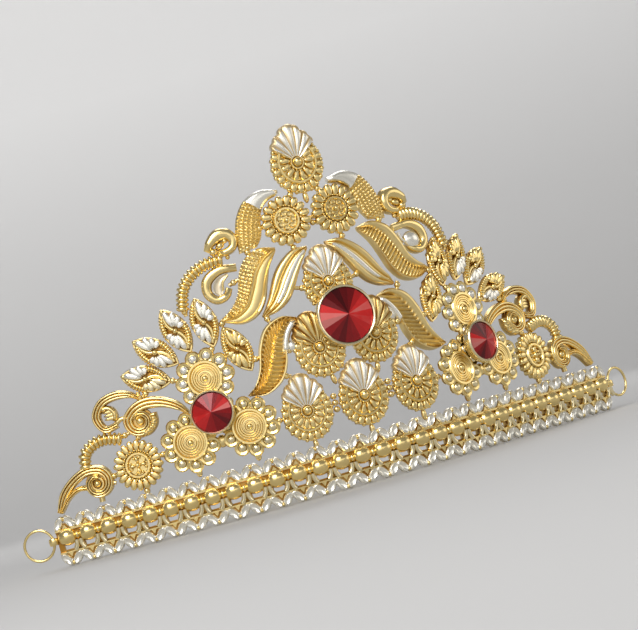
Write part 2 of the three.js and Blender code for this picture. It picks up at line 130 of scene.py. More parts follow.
def lofted(rings, closed=False):
    """A closed skin through rings of equally many points, with flat ends or bent into a hoop."""
    rings = np.asarray(rings, float)
    count, sides = rings.shape[:2]
    last = count if closed else count - 1
    i = np.arange(last)[:, None] * sides
    j = (np.arange(last)[:, None] + 1) % count * sides
    k = np.arange(sides)[None]
    n = (k + 1) % sides
    corners = list(np.stack([i + k, i + n, j + n, j + k], -1).reshape(-1))
    sizes = [4] * (last * sides)
    if not closed:
        corners += list(range(sides))[::-1]
        corners += list(range((count - 1) * sides, count * sides))
        sizes += [sides, sides]
    return outward(Metal(rings.reshape(-1, 3), corners, sizes))


def turned(profile, sides):
    """Turned on the lathe: profile is [radius, out], and a radius of 0 is a point on the axis."""
    angles = np.arange(sides) * 2 * math.pi / sides
    points, corners, sizes, starts = [], [], [], []
    for radius, out in profile:
        starts.append(len(points))
        spots = angles if radius else angles[:1]
        points += [(radius * math.cos(a), radius * math.sin(a), out) for a in spots]
    for i, (low, high) in enumerate(zip(starts, starts[1:])):
        for k in range(sides):
            n = (k + 1) % sides
            if profile[i][0] == 0:
                face = [low, high + n, high + k]
            elif profile[i + 1][0] == 0:
                face = [low + k, low + n, high]
            else:
                face = [low + k, low + n, high + n, high + k]
            corners += face
            sizes.append(len(face))
    return outward(Metal(points, corners, sizes))


SPAN_STEPS = 24  # how finely a curve is drawn between two of its points


def smooth(points, count):
    """Evenly spaced points on a smooth curve through these, all in pitches, given back in mm."""
    p = np.asarray(points, float) * PITCH
    p = np.concatenate([[2 * p[0] - p[1]], p, [2 * p[-1] - p[-2]]])
    fine = []
    for i in range(1, len(p) - 2):
        p0, p1, p2, p3 = p[i - 1 : i + 3]
        t1 = np.linalg.norm(p1 - p0) ** 0.5
        t2 = t1 + np.linalg.norm(p2 - p1) ** 0.5
        t3 = t2 + np.linalg.norm(p3 - p2) ** 0.5
        t = np.linspace(t1, t2, SPAN_STEPS, endpoint=False)[:, None]
        a1 = (t1 - t) / t1 * p0 + t / t1 * p1
        a2 = (t2 - t) / (t2 - t1) * p1 + (t - t1) / (t2 - t1) * p2
        a3 = (t3 - t) / (t3 - t2) * p2 + (t - t2) / (t3 - t2) * p3
        b1 = (t2 - t) / t2 * a1 + t / t2 * a2
        b2 = (t3 - t) / (t3 - t1) * a2 + (t - t1) / (t3 - t1) * a3
        fine.append((t2 - t) / (t2 - t1) * b1 + (t - t1) / (t2 - t1) * b2)
    fine = np.concatenate(fine + [p[-2:-1]])
    gone = np.concatenate([[0], np.cumsum(np.linalg.norm(np.diff(fine, axis=0), axis=1))])
    want = np.linspace(0, gone[-1], count)
    return np.stack([np.interp(want, gone, fine[:, 0]), np.interp(want, gone, fine[:, 1])], 1)


def between(outer, inner, across_steps, front, back=0.0):
    """A closed strip between two edge lines. front(along, across, at) gives how far out it
    stands, with along from 0 to 1 from its root to its tip, across from 0 to 1 from outer to
    inner, and at its place in pitches."""
    rings = []
    last = len(outer) - 1
    share = np.linspace(0, 1, across_steps + 1)
    for i, (a, b) in enumerate(zip(outer, inner)):
        places = [a + (b - a) * s for s in share]
        ring = [(*at, front(i / last, s, at / PITCH)) for at, s in zip(places, share)]
        rings.append(ring + [(*b, back), (*a, back)])
    return lofted(rings)


def strip(path, widths, across_steps, front, back=0.1):
    """A closed strip along a line, as wide as this in pitches."""
    way = np.gradient(path, axis=0)
    way = way / np.linalg.norm(way, axis=1)[:, None]
    side = np.stack([-way[:, 1], way[:, 0]], 1)
    half = (0.5 * PITCH * widths * np.ones(len(path)))[:, None]
    return between(path + side * half, path - side * half, across_steps, front, back)


def tapering(points, count, stations, widths, across_steps, front):
    """A strip along a smooth curve; its widths, in pitches, are given at shares of its length."""
    wide = np.interp(np.linspace(0, 1, count), stations, widths)
    return strip(smooth(points, count), wide, across_steps, front)


# ---- nodes, for finishes and for Geometry Nodes ----
def fed(tree, made, **values):
    """Sets a node's inputs. A value is a number or a colour, or the node or the socket that feeds
    it; i0, i1 and so on are inputs by their number."""
    for key, value in values.items():
        socket = made.inputs[int(key[1:]) if key[1:].isdigit() else key.replace("_", " ")]
        if isinstance(value, bpy.types.Node):
            value = value.outputs[0]
        if isinstance(value, bpy.types.NodeSocket):
            tree.links.new(value, socket)
        else:
            socket.default_value = value
    return made


def node(tree, kind, settings=None, **values):
    made = tree.nodes.new(kind)
    for key, value in (settings or {}).items():
        setattr(made, key, value)
    return fed(tree, made, **values)


def reckoned(tree, operation, *values):
    inputs = {f"i{k}": value for k, value in enumerate(values)}
    return node(tree, "ShaderNodeMath", {"operation": operation}, **inputs)


# ---- Geometry Nodes that set petals, links and scallops side by side and bend wires ----
def started(name, **sizes):
    """A tree with named inputs for its sizes, and the sockets that they come in by."""
    tree = bpy.data.node_groups.new(name, "GeometryNodeTree")
    kinds = {int: "Int", float: "Float", tuple: "Vector"}

    def entry(label, kind, in_out="INPUT"):
        return tree.interface.new_socket(label, in_out=in_out, socket_type="NodeSocket" + kind)

    entry("Geometry", "Geometry", "OUTPUT")
    entry("Geometry", "Geometry")
    for label, value in sizes.items():
        entry(label, kinds[type(value)]).default_value = value
    entry("Finish", "Material")
    return tree, tree.nodes.new("NodeGroupInput").outputs


def ended(tree, given, geometry):
    real = node(tree, "GeometryNodeRealizeInstances", Geometry=geometry)
    painted = node(tree, "GeometryNodeSetMaterial", Geometry=real, Material=given["Finish"])
    tree.links.new(painted.outputs[0], tree.nodes.new("NodeGroupOutput").inputs[0])
    return tree


def ring_tree():
    """Copies of a piece in a ring, each with its across side turned away from the middle."""
    tree, given = started("petals_in_a_ring", Count=16, Circle=3.0, Start=0.0)
    circle = node(
        tree, "GeometryNodeMeshCircle", Vertices=given["Count"], Radius=given["Circle"]
    )
    place = node(tree, "GeometryNodeInputPosition")
    upright = {"axis": "X", "pivot_axis": "Z"}
    facing = node(tree, "FunctionNodeAlignRotationToVector", upright, Vector=place)
    placed = node(
        tree,
        "GeometryNodeInstanceOnPoints",
        Points=circle,
        Instance=given["Geometry"],
        Rotation=facing,
    )
    start = node(tree, "ShaderNodeCombineXYZ", Z=given["Start"])
    real = node(tree, "GeometryNodeRealizeInstances", Geometry=placed)
    return ended(tree, given, node(tree, "GeometryNodeTransform", Geometry=real, Rotation=start))


def row_tree():
    """One scallop's work repeated along the band."""
    tree, given = started("scallops_in_a_row", Count=SCALLOPS, Step=SCALLOP)
    step = node(tree, "ShaderNodeCombineXYZ", X=given["Step"])
    line = node(tree, "GeometryNodeMeshLine", Count=given["Count"], Offset=step)
    placed = node(
        tree, "GeometryNodeInstanceOnPoints", Points=line, Instance=given["Geometry"]
    )
    return ended(tree, given, placed)


def link_tree():
    """Beads side by side along the drawn line, across its run."""
    tree, given = started("links_along_a_line", Count=20, Size=(0.76, 1.72, 1.5))
    line = node(tree, "GeometryNodeMeshToCurve", Mesh=given["Geometry"])
    even = node(tree, "GeometryNodeResampleCurve", Curve=line, Count=given["Count"])
    link = node(tree, "GeometryNodeMeshUVSphere", Segments=10, Rings=6, Radius=1.0)
    way = node(tree, "GeometryNodeInputTangent")
    facing = node(tree, "FunctionNodeAlignRotationToVector", {"axis": "X"}, Vector=way)
    placed = node(
        tree,
        "GeometryNodeInstanceOnPoints",
        Points=even,
        Instance=link,
        Rotation=facing,
        Scale=given["Size"],
    )
    return ended(tree, given, placed)


def swept(tree, given, line):
    """Ends a tree with a round wire along its line, with closed ends."""
    section = node(
        tree, "GeometryNodeCurvePrimitiveCircle", Resolution=given["Sides"], Radius=given["Wire"]
    )
    made = node(
        tree, "GeometryNodeCurveToMesh", Curve=line, Profile_Curve=section, Fill_Caps=True
    )
    return ended(tree, given, made)


def wire_tree():
    """A round wire along the drawn line."""
    tree, given = started("wire_along_a_line", Wire=0.5, Sides=8)
    return swept(tree, given, node(tree, "GeometryNodeMeshToCurve", Mesh=given["Geometry"]))


def filigree_tree():
    """A wire coiled into a spiral over a low dome; Rise is how high its middle stands."""
    tree, given = started(
        "filigree_coil",
        Turns=3.2,
        Inner=1.8,
        Outer=3.6,
        Wire=0.25,
        Sides=6,
        Rise=0.17,
        Out=1.6,
        Steps=24,
    )
    coil = node(
        tree,
        "GeometryNodeCurveSpiral",
        Resolution=given["Steps"],
        Rotations=given["Turns"],
        Start_Radius=given["Inner"],
        End_Radius=given["Outer"],
        Height=0.0,
    )
    place = node(tree, "GeometryNodeInputPosition")
    reach = node(tree, "ShaderNodeVectorMath", {"operation": "LENGTH"}, i0=place)
    share = reckoned(tree, "DIVIDE", reach.outputs["Value"], given["Outer"])
    left = reckoned(tree, "SUBTRACT", 1.0, reckoned(tree, "MULTIPLY", share, share))
    rise = reckoned(tree, "MULTIPLY_ADD", left, given["Rise"], given["Out"])
    lift = node(tree, "ShaderNodeCombineXYZ", Z=rise)
    return swept(tree, given, node(tree, "GeometryNodeSetPosition", Geometry=coil, Offset=lift))


RING_OF, ROW, LINKS = ring_tree(), row_tree(), link_tree()
WIRES, FILIGREE = wire_tree(), filigree_tree()


def shown(name, data):
    """An object of this name in the scene."""
    made = bpy.data.objects.new(name, data)
    bpy.context.scene.collection.objects.link(made)
    return made


def meshed(name, metal, unit=1.0):
    """A mesh of the metal; unit is the length of a millimetre in it."""
    mesh = bpy.data.meshes.new(name)
    mesh.vertices.add(len(metal.points))
    mesh.vertices.foreach_set("co", (metal.points * unit).astype(np.float32).ravel())
    mesh.loops.add(len(metal.corners))
    mesh.loops.foreach_set("vertex_index", metal.corners.astype(np.int32))
    mesh.polygons.add(len(metal.sizes))
    starts = np.cumsum(metal.sizes) - metal.sizes
    mesh.polygons.foreach_set("loop_start", starts.astype(np.int32))
    mesh.update(calc_edges=True)
    return mesh


def worked(tree, blank, **settings):
    """Runs a tree over a blank mesh and gives back what it made."""
    bench = shown("bench", blank)
    tool = bench.modifiers.new("work", "NODES")
    tool.node_group = tree
    items = tree.interface.items_tree
    inputs = {item.name: item.identifier for item in items if item.in_out == "INPUT"}
    for name, value in settings.items():
        tool[inputs[name]] = value
    bpy.context.view_layer.update()
    evaluated = bench.evaluated_get(bpy.context.evaluated_depsgraph_get())
    made = bpy.data.meshes.new_from_object(evaluated)
    points = np.zeros(3 * len(made.vertices), np.float32)
    made.vertices.foreach_get("co", points)
    corners = np.zeros(len(made.loops), np.int32)
    made.loops.foreach_get("vertex_index", corners)
    sizes = np.zeros(len(made.polygons), np.int32)
    made.polygons.foreach_get("loop_total", sizes)
    bench.modifiers.remove(tool)
    bpy.data.objects.remove(bench)
    bpy.data.meshes.remove(made)
    bpy.data.meshes.remove(blank)
    return Metal(points, corners, sizes)


def drawn(path, closed=False):
    """A line through points (across, up, out), as a blank for a tree."""
    blank = bpy.data.meshes.new("line")
    count = len(path)
    edges = [(i, (i + 1) % count) for i in range(count if closed else count - 1)]
    blank.from_pydata([tuple(at) for at in path], edges, [])
    return blank


def around(metal, count, circle, start=0.0):
    blank = meshed("blank", metal)
    return worked(RING_OF, blank, Count=count, Circle=circle * PITCH, Start=start)


def in_a_row(pieces):
    row = worked(ROW, meshed("blank", soldered(pieces)), Count=SCALLOPS, Step=SCALLOP)
    return row.moved(across=-0.5 * (SCALLOPS - 1) * SCALLOP)


def wire(path, thick, sides=8, closed=False):
    return worked(WIRES, drawn(path, closed), Wire=thick, Sides=sides)


def with_painted_shade(backing):
    """A backing painted dark on its front: painted shade between the work soldered on it."""
    backing.tone[backing.points[:, 2] > RECESS] = 0.0
    return backing


def raised(line, out):
    """The flat line held this far out."""
    return [(x, y, out) for x, y in line]


# ---- small parts that the pieces are soldered from ----
# Places and sizes over the face of the work are in pitches; heights, and the thickness of wires,
# are in millimetres.
RIGHT = 0.5 * math.pi  # a petal made upright, turned clockwise to point across
LOWEST = 0.1  # nothing goes further back than this


def dished(profile, sides):
    """Turned work whose radii are in pitches."""
    return turned(profile, sides).moved(wider=PITCH, taller=PITCH)


def disc(radius, low, high, sides):
    edge = [[0.97 * radius, low], [radius, 0.5 * (low + high)], [0.95 * radius, high]]
    return dished([[0, low], *edge, [0, high]], sides)


def hoop(radius, thick, out, sides, section=6, deep=None):
    """A wire bent into a ring; deep makes it thicker from its front to its back."""
    deep = deep or thick
    rings = []
    for a in np.arange(sides) * 2 * math.pi / sides:
        ring = []
        for b in np.arange(section) * 2 * math.pi / section:
            reach = radius * PITCH + thick * math.cos(b)
            ring.append((reach * math.cos(a), reach * math.sin(a), out + deep * math.sin(b)))
        rings.append(ring)
    return lofted(rings, closed=True)


@functools.lru_cache
def ball(sides, rings):
    """A ball of radius 1."""
    steps = [math.pi * i / rings for i in range(1, rings)]
    return turned([[0, -1], *([math.sin(a), -math.cos(a)] for a in steps), [0, 1]], sides)


def bead(across, up, out, wide, tall, deep, turn=0.0, sides=10, rings=6):
    """An oval bead, given by its middle and its half sizes."""
    made = ball(sides, rings).moved(wider=wide * PITCH, taller=tall * PITCH)
    made = made.moved(across * PITCH, up * PITCH, turn=turn)
    made.points[:, 2] = np.maximum(made.points[:, 2] * deep + out, LOWEST)
    made.tone = height_shade(made.points[:, 2])
    return made


def lobe(across, up, wide, tall, turn, high=1.82, sides=12, flare=0.0, sunk=0.0):
    """A plump petal, painted dark round its edge and bright on its broad face: painted shade down
    its sides, and on white petals also a gold edge.

    It may flare upward, and its middle may be sunk, which leaves a loop round a dish.
    """
    profile = [[0, 0.2], [0.9, 0.2], [1.0, 0.6], [0.92, 0.86], [0.72, 0.97]]
    profile += [[0.36, 0.98 - sunk], [0, 1 - 1.2 * sunk]]
    profile = [[radius, out * high if out > 0.2 else out] for radius, out in profile]
    made = turned(profile, sides)
    made.points[:, 0] *= 1 + flare * made.points[:, 1]
    # painted shade: the foot and lowest rings are painted dark, the rest light
    made.tone = np.where(np.arange(len(made.points)) < 1 + 2 * sides, 0.0, 1.0)
    made = made.moved(wider=wide * PITCH, taller=tall * PITCH)
    return made.moved(across * PITCH, up * PITCH, turn=turn)


def bulge(share):
    """A round back: 0 at both edges and 1 half way across."""
    return math.sqrt(max(0.0, 1 - (2 * share - 1) ** 2))


def wave(turns):
    return 0.5 + 0.5 * math.cos(2 * math.pi * turns)


def tapered(t):
    """The rise at a piece's root and the fall at its tip."""
    return min(1.0, 0.2 + 7 * t, 0.15 + 7 * (1 - t))


# ---- fans: a beaded rim round a domed flower, and a pleated shell ----
SHELL_HALF = math.radians(52.5)
SHELL_PLEAT = math.radians(17.5)
SHELL_ROOT = 0.24  # pitches from the fan's middle to the shell's lower edge


def shell_edge(angle):
    """How far the shell reaches at an angle from its middle, in pitches: five lobes."""
    a = abs(math.degrees(angle))
    if a < 20:
        return 1.40 + 0.29 * math.sqrt(1 - (a / 20) ** 2)
    low, high, near, far = (20, 38, 1.40, 1.30) if a < 38 else (38, 54, 1.30, 1.16)
    t = (a - low) / (high - low)
    return near + (far - near) * t + 0.085 * math.sin(math.pi * t) ** 0.7


def fan_shell():
    """The shell is painted light on its pleats and dark in its valleys and at its lip: painted
    shade and gold lines in the valleys, gold edging at the lip.
    """
    samples = 56
    shares = (0, 0.12, 0.26, 0.4, 0.54, 0.67, 0.77, 0.84, 0.89, 0.95, 1)
    rings, tones = [], []
    for i in range(samples + 1):
        angle = SHELL_HALF * (2 * i / samples - 1)
        fold = abs(math.cos(math.pi * angle / SHELL_PLEAT)) ** 0.5
        front, back = [], []
        for share in shares:
            radius = (SHELL_ROOT + (shell_edge(angle) - SHELL_ROOT) * share) * PITCH
            swell = 1.75 + 0.85 * math.sin(math.pi * min(1.0, 0.12 + 0.76 * share))
            lip = 0.5 * max(0.0, share - 0.92) / 0.08
            pleat = (0.3 + 0.5 * share) * (fold - 0.5)
            at = (-radius * math.sin(angle), radius * math.cos(angle))
            front.append((*at, swell + pleat - lip))
            back.append((*at, 0.5))
            # painted shade with gold lines in the valleys, and the gold lip
            tones.append(0.98 * fold**2.3 if share < 0.86 else 0.1)
        rings.append(front + back[::-1])
        tones += [BACK_TONE] * len(shares)
    shell = lofted(rings)
    shell.tone = np.array(tones)
    return shell


def fan():
    petal = lobe(0, 0, 0.15, 0.2, -RIGHT, high=2.1, sides=10, flare=0.2)
    rim = [
        disc(1.08, 0, 1.25, 40),
        around(petal, 20, 0.97, math.pi / 20),
        around(bead(0, 0, 1.0, 0.095, 0.095, 0.7, sides=8, rings=5), 20, 1.12),
    ]
    heart = [
        dished([[0, 0.8], [0.86, 0.8], [0.84, 1.5], [0.7, 1.3], [0, 1.4]], 36),
        hoop(0.83, 0.42, 1.85, sides=44),
        around(lobe(0, 0, 0.125, 0.26, -RIGHT, high=2.4, sides=10, flare=0.32), 13, 0.55),
        hoop(0.27, 0.28, 1.9, sides=20),
        bead(0, 0, 2.0, 0.21, 0.21, 1.4, sides=14, rings=8),
        bead(0, -1.45, 0.75, 0.13, 0.26, 0.7),
    ]
    rim = soldered(rim).moved(up=-0.12 * PITCH, taller=1.1)
    heart = soldered(heart).moved(up=-0.03 * PITCH, taller=1.07)
    return {"gold": [rim, heart], "white": [fan_shell()]}


# ---- trefoils: three coiled discs edged with pearls in loops ----
LOOPS = 10


def coiled_disc(start):
    """A disc with coiled wire on it and loops round it, and the pearls that sit in its loops."""
    ring = hoop(0.27, 0.44, 1.35, sides=14, section=5).moved(wider=1.12, taller=1.06)
    loop = soldered([ring, disc(0.28, 0.1, 1.0, 10)])
    blank = bpy.data.meshes.new("blank")
    gold = [
        disc(1.0, 0, 0.85, 40),
        around(loop, LOOPS, 1.0, start),
        dished([[0, 0.6], [0.77, 0.6], [0.77, 1.45], [0.7, 1.55], [0, 1.7]], 36),
        hoop(0.74, 0.46, 1.75, sides=44),
        worked(FILIGREE, blank, Inner=0.33 * PITCH, Outer=0.66 * PITCH),
        hoop(0.24, 0.24, 1.85, sides=18),
        bead(0, 0, 1.85, 0.14, 0.14, 0.7, sides=12),
    ]
    pearl = bead(0, 0, 1.3, 0.22, 0.21, 1.0, sides=12, rings=7)
    return soldered(gold), around(pearl, LOOPS, 1.02, start)


def trefoil():
    made = {"gold": [disc(0.8, 0, 1.3, 24)], "white": [], "pale": []}
    discs = ((0, 1.64, "white"), (1.38, -0.95, "pale"), (-1.38, -0.95, "pale"))
    for across, up, finish in discs:
        coiled, pearls = coiled_disc(math.atan2(-up, -across) + math.pi / LOOPS)
        made["gold"].append(coiled.moved(across * PITCH, up * PITCH))
        made[finish].append(pearls.moved(across * PITCH, up * PITCH))
    for hand in (-1, 1):
        made["gold"].append(bead(hand * 1.38, -2.32, 0.8, 0.15, 0.22, 0.75))
        made["gold"].append(bead(hand * 0.72, 0.35, 0.9, 0.24, 0.24, 0.8))
    made["gold"].append(bead(0, -1.25, 0.9, 0.24, 0.3, 0.85))
    return made


# ---- round rosettes: drops round a ringed heart, with fine beads between ----
def rosette(ring, ring_wire, drop_count, middle, long, curls):
    """A tier of plump drops round a ringed heart, which holds curls or a small cross."""
    drop = lobe(0, 0, 0.92 * math.pi / drop_count, long, -RIGHT, high=2.3, flare=0.3)
    fine = bead(0, 0, 1.45, 0.07, 0.075, 0.6, sides=6, rings=4)
    gold = [
        disc(middle + 0.55 * long, 0, 1.1, 40),
        around(drop, drop_count, middle, math.pi / drop_count),
        around(fine, drop_count, ring + 0.14),
        hoop(ring, ring_wire, 2.0, sides=36),
        disc(ring, 1.0, 1.65, 28),
        bead(0, 0, 1.9, 0.13, 0.13, 0.95),
    ]
    if curls:
        gold.append(around(hoop(0.1, 0.21, 1.85, sides=9, section=5), 7, 0.32))
    else:
        gold.append(around(bead(0, 0, 1.85, 0.17, 0.09, 0.7, sides=8), 4, 0.25))
        gold.append(around(bead(0, 0, 1.75, 0.09, 0.07, 0.55, sides=6), 8, 0.36, math.pi / 8))
    return {"gold": gold}


# ---- almonds: petals fanned to both tips, and short ribs along two of the edges ----
ALMOND_TIP, ALMOND_WIDE = 1.2, 0.57
RIM_SHARE = 0.95  # how much of the outline the rim's wire keeps


def almond_edge(t, hand, share=1.0):
    """A point of the outline from its lower tip (t = 0) to its upper tip (t = 1), in pitches."""
    up = -((1 - t) ** 3) - 1.35 * t * (1 - t) ** 2 + 1.35 * t * t * (1 - t) + t**3
    return hand * share * ALMOND_WIDE * 4 * t * (1 - t), share * ALMOND_TIP * up


def almond(upper_finish, lower_finish):
    steps = np.arange(17) / 17
    edge = [almond_edge(t, 1) for t in steps] + [almond_edge(1 - t, -1) for t in steps]
    edge = np.array(edge) * PITCH
    levels = ((0.88, 0.0), (RIM_SHARE, 0.3), (RIM_SHARE, 0.8), (0.86, 1.0))
    # the plate is painted dark between the petals, as shade
    plate = with_painted_shade(lofted([raised(edge * share, out) for share, out in levels]))
    rim = wire(raised(edge * RIM_SHARE, 1.05), 0.34, sides=6, closed=True)
    made = {"gold": [plate, rim, bead(0, 0, 1.7, 0.13, 0.13, 0.95, sides=12)]}
    made["gold"].append(bead(0, 1.04, 1.15, 0.12, 0.13, 0.85))
    fans = (  # each petal's lean in degrees and its reach in pitches
        (upper_finish, 0.0, ((4, 1.03), (25, 0.88), (49, 0.7), (78, 0.54))),
        (lower_finish, math.pi, ((6, 0.99), (28, 0.85), (53, 0.68), (82, 0.53))),
    )
    root = 0.16
    for finish, turn, petals in fans:
        fanned = []
        for lean, reach in petals:
            a, middle = math.radians(lean), 0.5 * (reach + root)
            at = (-middle * math.sin(a), middle * math.cos(a))
            fanned.append(lobe(*at, 0.135, 0.5 * (reach - root), a, high=2.4, flare=0.4))
        made.setdefault(finish, []).append(soldered(fanned).moved(turn=turn))
        small = []
        for i in range(8):
            at = almond_edge(0.49 + 0.06 * i, 1, 0.82)
            small.append(bead(*at, 1.1, 0.18, 0.085, 1.0, 0.09 * i, sides=8, rings=5))
        line = smooth([[0.0, 0.0], [0.15, 0.3], [0.15, 0.66], [0.0, 0.98]], 12)
        small.append(wire(raised(line, 1.35), 0.5))
        made["gold"].append(soldered(small).moved(turn=turn))
    return made


# ---- stones and their settings, in millimetres ----
STONE_SIDES = 20
STONE_RIM = 0.12  # half the height of a stone's rim
RIM_TONE = 0.2  # depth of colour round the rim and at the back


def stone(radius, back, front, tones):
    """A pointed round stone: long facets from its point to its rim, and a pointed back."""
    profile = [[0, front], [radius, STONE_RIM], [radius, -STONE_RIM], [0, -back]]
    made = turned(profile, STONE_SIDES)
    made.facets = np.full(len(made.sizes), RIM_TONE)
    at = np.arange(STONE_SIDES)
    tones = np.interp(at / STONE_SIDES, np.linspace(0, 1, len(tones) + 1), tones + tones[:1])
    # painted reflections: each long facet painted lit or dark, neighbours a little apart
    made.facets[:STONE_SIDES] = tones + np.where(at % 2, -0.035, 0.035)
    return made


def setting(radius, wall, girdle):
    """A cup with a thin rolled rim round a stone."""
    outer = radius + 0.3 + wall
    inner = radius + 0.06
    foot_and_wall = [[0, 0], [outer - 0.6, 0], [outer - 0.1, 0.7], [outer, 1.4]]
    rim = [
        [outer - 0.02, girdle],
        [outer - 0.1, girdle + 0.45],
        [outer - 0.36, girdle + 0.6],
        [inner + 0.05, girdle + 0.45],
        [inner, girdle + 0.1],
        [inner + 0.15, girdle - 0.3],
    ]
    floor = [[inner + 0.15, 1.3], [0.45 * radius, 0.5], [0, 0.5]]
    cup = turned(foot_and_wall + rim + floor, 64)
    # the cup's painted shade is kept light
    cup.tone = np.maximum(cup.tone, 0.35)
    return cup


# ---- leaves and plumes: their edge lines in pitches, and how their fronts are worked ----
LEAF_EDGES = {
    "lower_leaf": (
        [[1.98, 8.02], [2.7, 8.22], [3.5, 7.9], [3.98, 7.1], [4.2, 6.2], [4.55, 5.55], [5.0, 5.18]],
        [[2.0, 7.9], [2.5, 7.5], [2.75, 6.9], [2.9, 6.1], [3.3, 5.42], [4.1, 5.0], [4.9, 5.12]],
    ),
    "outer_leaf": (
        [[2.05, 11.28], [2.8, 11.42], [3.55, 11.1], [4.0, 10.4], [4.25, 9.65], [4.65, 9.15]]
        + [[5.3, 8.74]],
        [[2.05, 11.12], [2.5, 10.5], [2.8, 9.8], [3.1, 9.05], [3.6, 8.5], [4.3, 8.32], [5.1, 8.58]],
    ),
    "inner_leaf": (
        [[0.6, 11.0], [1.3, 11.0], [1.95, 10.62], [2.42, 10.12], [2.74, 9.55], [2.98, 9.08]]
        + [[3.45, 8.42]],
        [[0.6, 10.86], [1.0, 10.35], [1.38, 9.75], [1.66, 9.28], [2.05, 8.8], [2.6, 8.48]]
        + [[3.35, 8.33]],
    ),
    "plume": (
        [[1.24, 13.78], [2.05, 13.94], [2.84, 13.66], [3.36, 13.02], [3.62, 12.25], [3.66, 11.4]],
        [[1.24, 13.6], [1.84, 13.38], [2.2, 12.98], [2.38, 12.44], [2.5, 11.92], [2.8, 11.5]],
    ),
}
BRICK, RIB = 0.15, 0.185  # heights of a row of bricks and of a rib, in pitches


def leaf_lines(name, steps):
    outer, inner = LEAF_EDGES[name]
    return smooth(outer, steps + 1), smooth(inner, steps + 1)


def bricks(columns, at):
    """Rows of small bricks, with every second column moved by half a brick."""
    rows = wave(at[1] / BRICK + 0.5 * (int(columns) % 2))
    return 0.6 * rows * bulge(columns % 1.0)


def rounded(low, high):
    return lambda share, t, at: low + high * bulge(share)


def zoned(*zones):
    """A front in zones side by side. Each is worked in its own way up to a share of the width,
    and is given its own share from 0 to 1, t along the leaf and its place."""

    def front(t, s, at):
        start = 0.0
        for end, work in zones:
            if s < end or end == 1:
                return 1.0 + work((s - start) / (end - start), t, at) * tapered(t)
            start = end

    return front


# Bricks on the outer side, a bright ridge, then a smooth inner side with a thin rim.
BRICKED = zoned(
    (0.44, lambda share, t, at: 0.15 + 0.45 * bulge(0.15 + 0.44 * share) + bricks(4 * share, at)),
    (0.56, rounded(0.8, 0.85)),
    (0.87, rounded(0.5, 0.3)),
    (1, rounded(0.5, 0.75)),
)
# A wide smooth outer rim, then fine slanting ribs, and a thin inner rim.
FEATHERED = zoned(
    (0.32, rounded(0.2, 1.25)),
    (0.87, lambda share, t, at: 0.35 * bulge(share) - 0.18 + 0.68 * wave(25 * t + 1.6 * share)),
    (1, rounded(0.2, 1.1)),
)


def ribs(share, t, at):
    """Ribs across the leaf, a little aslant."""
    return 0.35 * bulge(share) - 0.16 + 0.74 * wave((0.25 * at[0] + at[1]) / RIB)


def chevrons(share, t, at):
    """Ribs that meet on a spine."""
    away = abs(share - 0.5)
    slanted = 0.42 * bulge(share) - 0.16 + 0.76 * wave(22 * t + 3.8 * away)
    spine = math.exp(-((away / 0.07) ** 2))
    return slanted + 0.6 * spine


RIBBED = zoned((0.3, rounded(0.2, 1.2)), (0.87, ribs), (1, rounded(0.25, 1.05)))
HERRINGBONE = zoned((0.13, rounded(0.25, 1.2)), (0.88, chevrons), (1, rounded(0.25, 1.05)))


def stranded_front(t, s, at):
    """Three smooth strands side by side."""
    strand = bulge((3 * s) % 1.0 if s < 1 else 0.0)
    return 0.7 + (0.1 + 0.35 * bulge(s) + 1.4 * strand**0.8) * tapered(t)


def plume_front(t, s, at):
    return 1.0 + (0.1 + 0.6 * bulge(s) + bricks(5.5 * s, at)) * tapered(t)


def cap_front(t, s, at):
    return 1.2 + 1.35 * bulge(s) ** 0.8 * min(1.0, 0.3 + 5 * t)


def hollow_front(t, s, at):
    return 1.45 - 0.5 * bulge(s)


def rounded_front(high):
    return lambda t, s, at: 1.0 + high * bulge(s) ** 0.8 * tapered(t)


def lower_leaf(label):
    if label == "left":
        front, line = HERRINGBONE, [[2.12, 7.92], [2.55, 7.45], [2.78, 6.95], [2.86, 6.55]]
        wide, high = 0.34, 1.5
        tip = bead(2.52, 6.8, 1.1, 0.24, 0.28, 1.2, 0.2)
    else:
        front, line = RIBBED, [[1.98, 7.9], [2.35, 7.62], [2.66, 7.15], [2.86, 6.6]]
        wide, high = 0.3, 1.6
        tip = bead(2.36, 7.1, 1.0, 0.27, 0.4, 1.3, 0.5)
    leaf = between(*leaf_lines("lower_leaf", 190), 24, front)
    fold = strip(smooth(line, 40), wide, 6, rounded_front(high), back=0.3)
    return {"satin": [leaf], "white": [fold, tip]}


def outer_leaf(label):
    front = BRICKED if label == "left" else FEATHERED
    return {"satin": [between(*leaf_lines("outer_leaf", 200), 26, front)]}


def inner_leaf():
    outer, inner = leaf_lines("inner_leaf", 80)
    run = (0.4 * outer + 0.6 * inner)[6:62]
    widths = 0.36 * np.sin(np.linspace(0.3, math.pi - 0.15, len(run))) ** 0.5
    rib = strip(run, widths, 6, lambda t, s, at: 1.6 + bulge(s) ** 0.8, back=0.5)
    return {"satin": [between(outer, inner, 28, stranded_front)], "white": [rib]}


def plume():
    outer, inner = leaf_lines("plume", 150)
    body = between(outer[52:], inner[52:], 22, plume_front)
    cap = between(outer[:62], inner[:62], 12, cap_front, back=0.1)
    run = (0.06 * outer + 0.94 * inner)[4:62]
    edge = strip(run, 0.12, 4, rounded_front(1.5), back=0.2)
    return {"satin": [body], "white": [cap], "gold": [edge]}


# ---- ropes, scrolls, curls and buds, drawn for the right side ----
LINK_STEP = 1.05  # millimetres of rope for each link


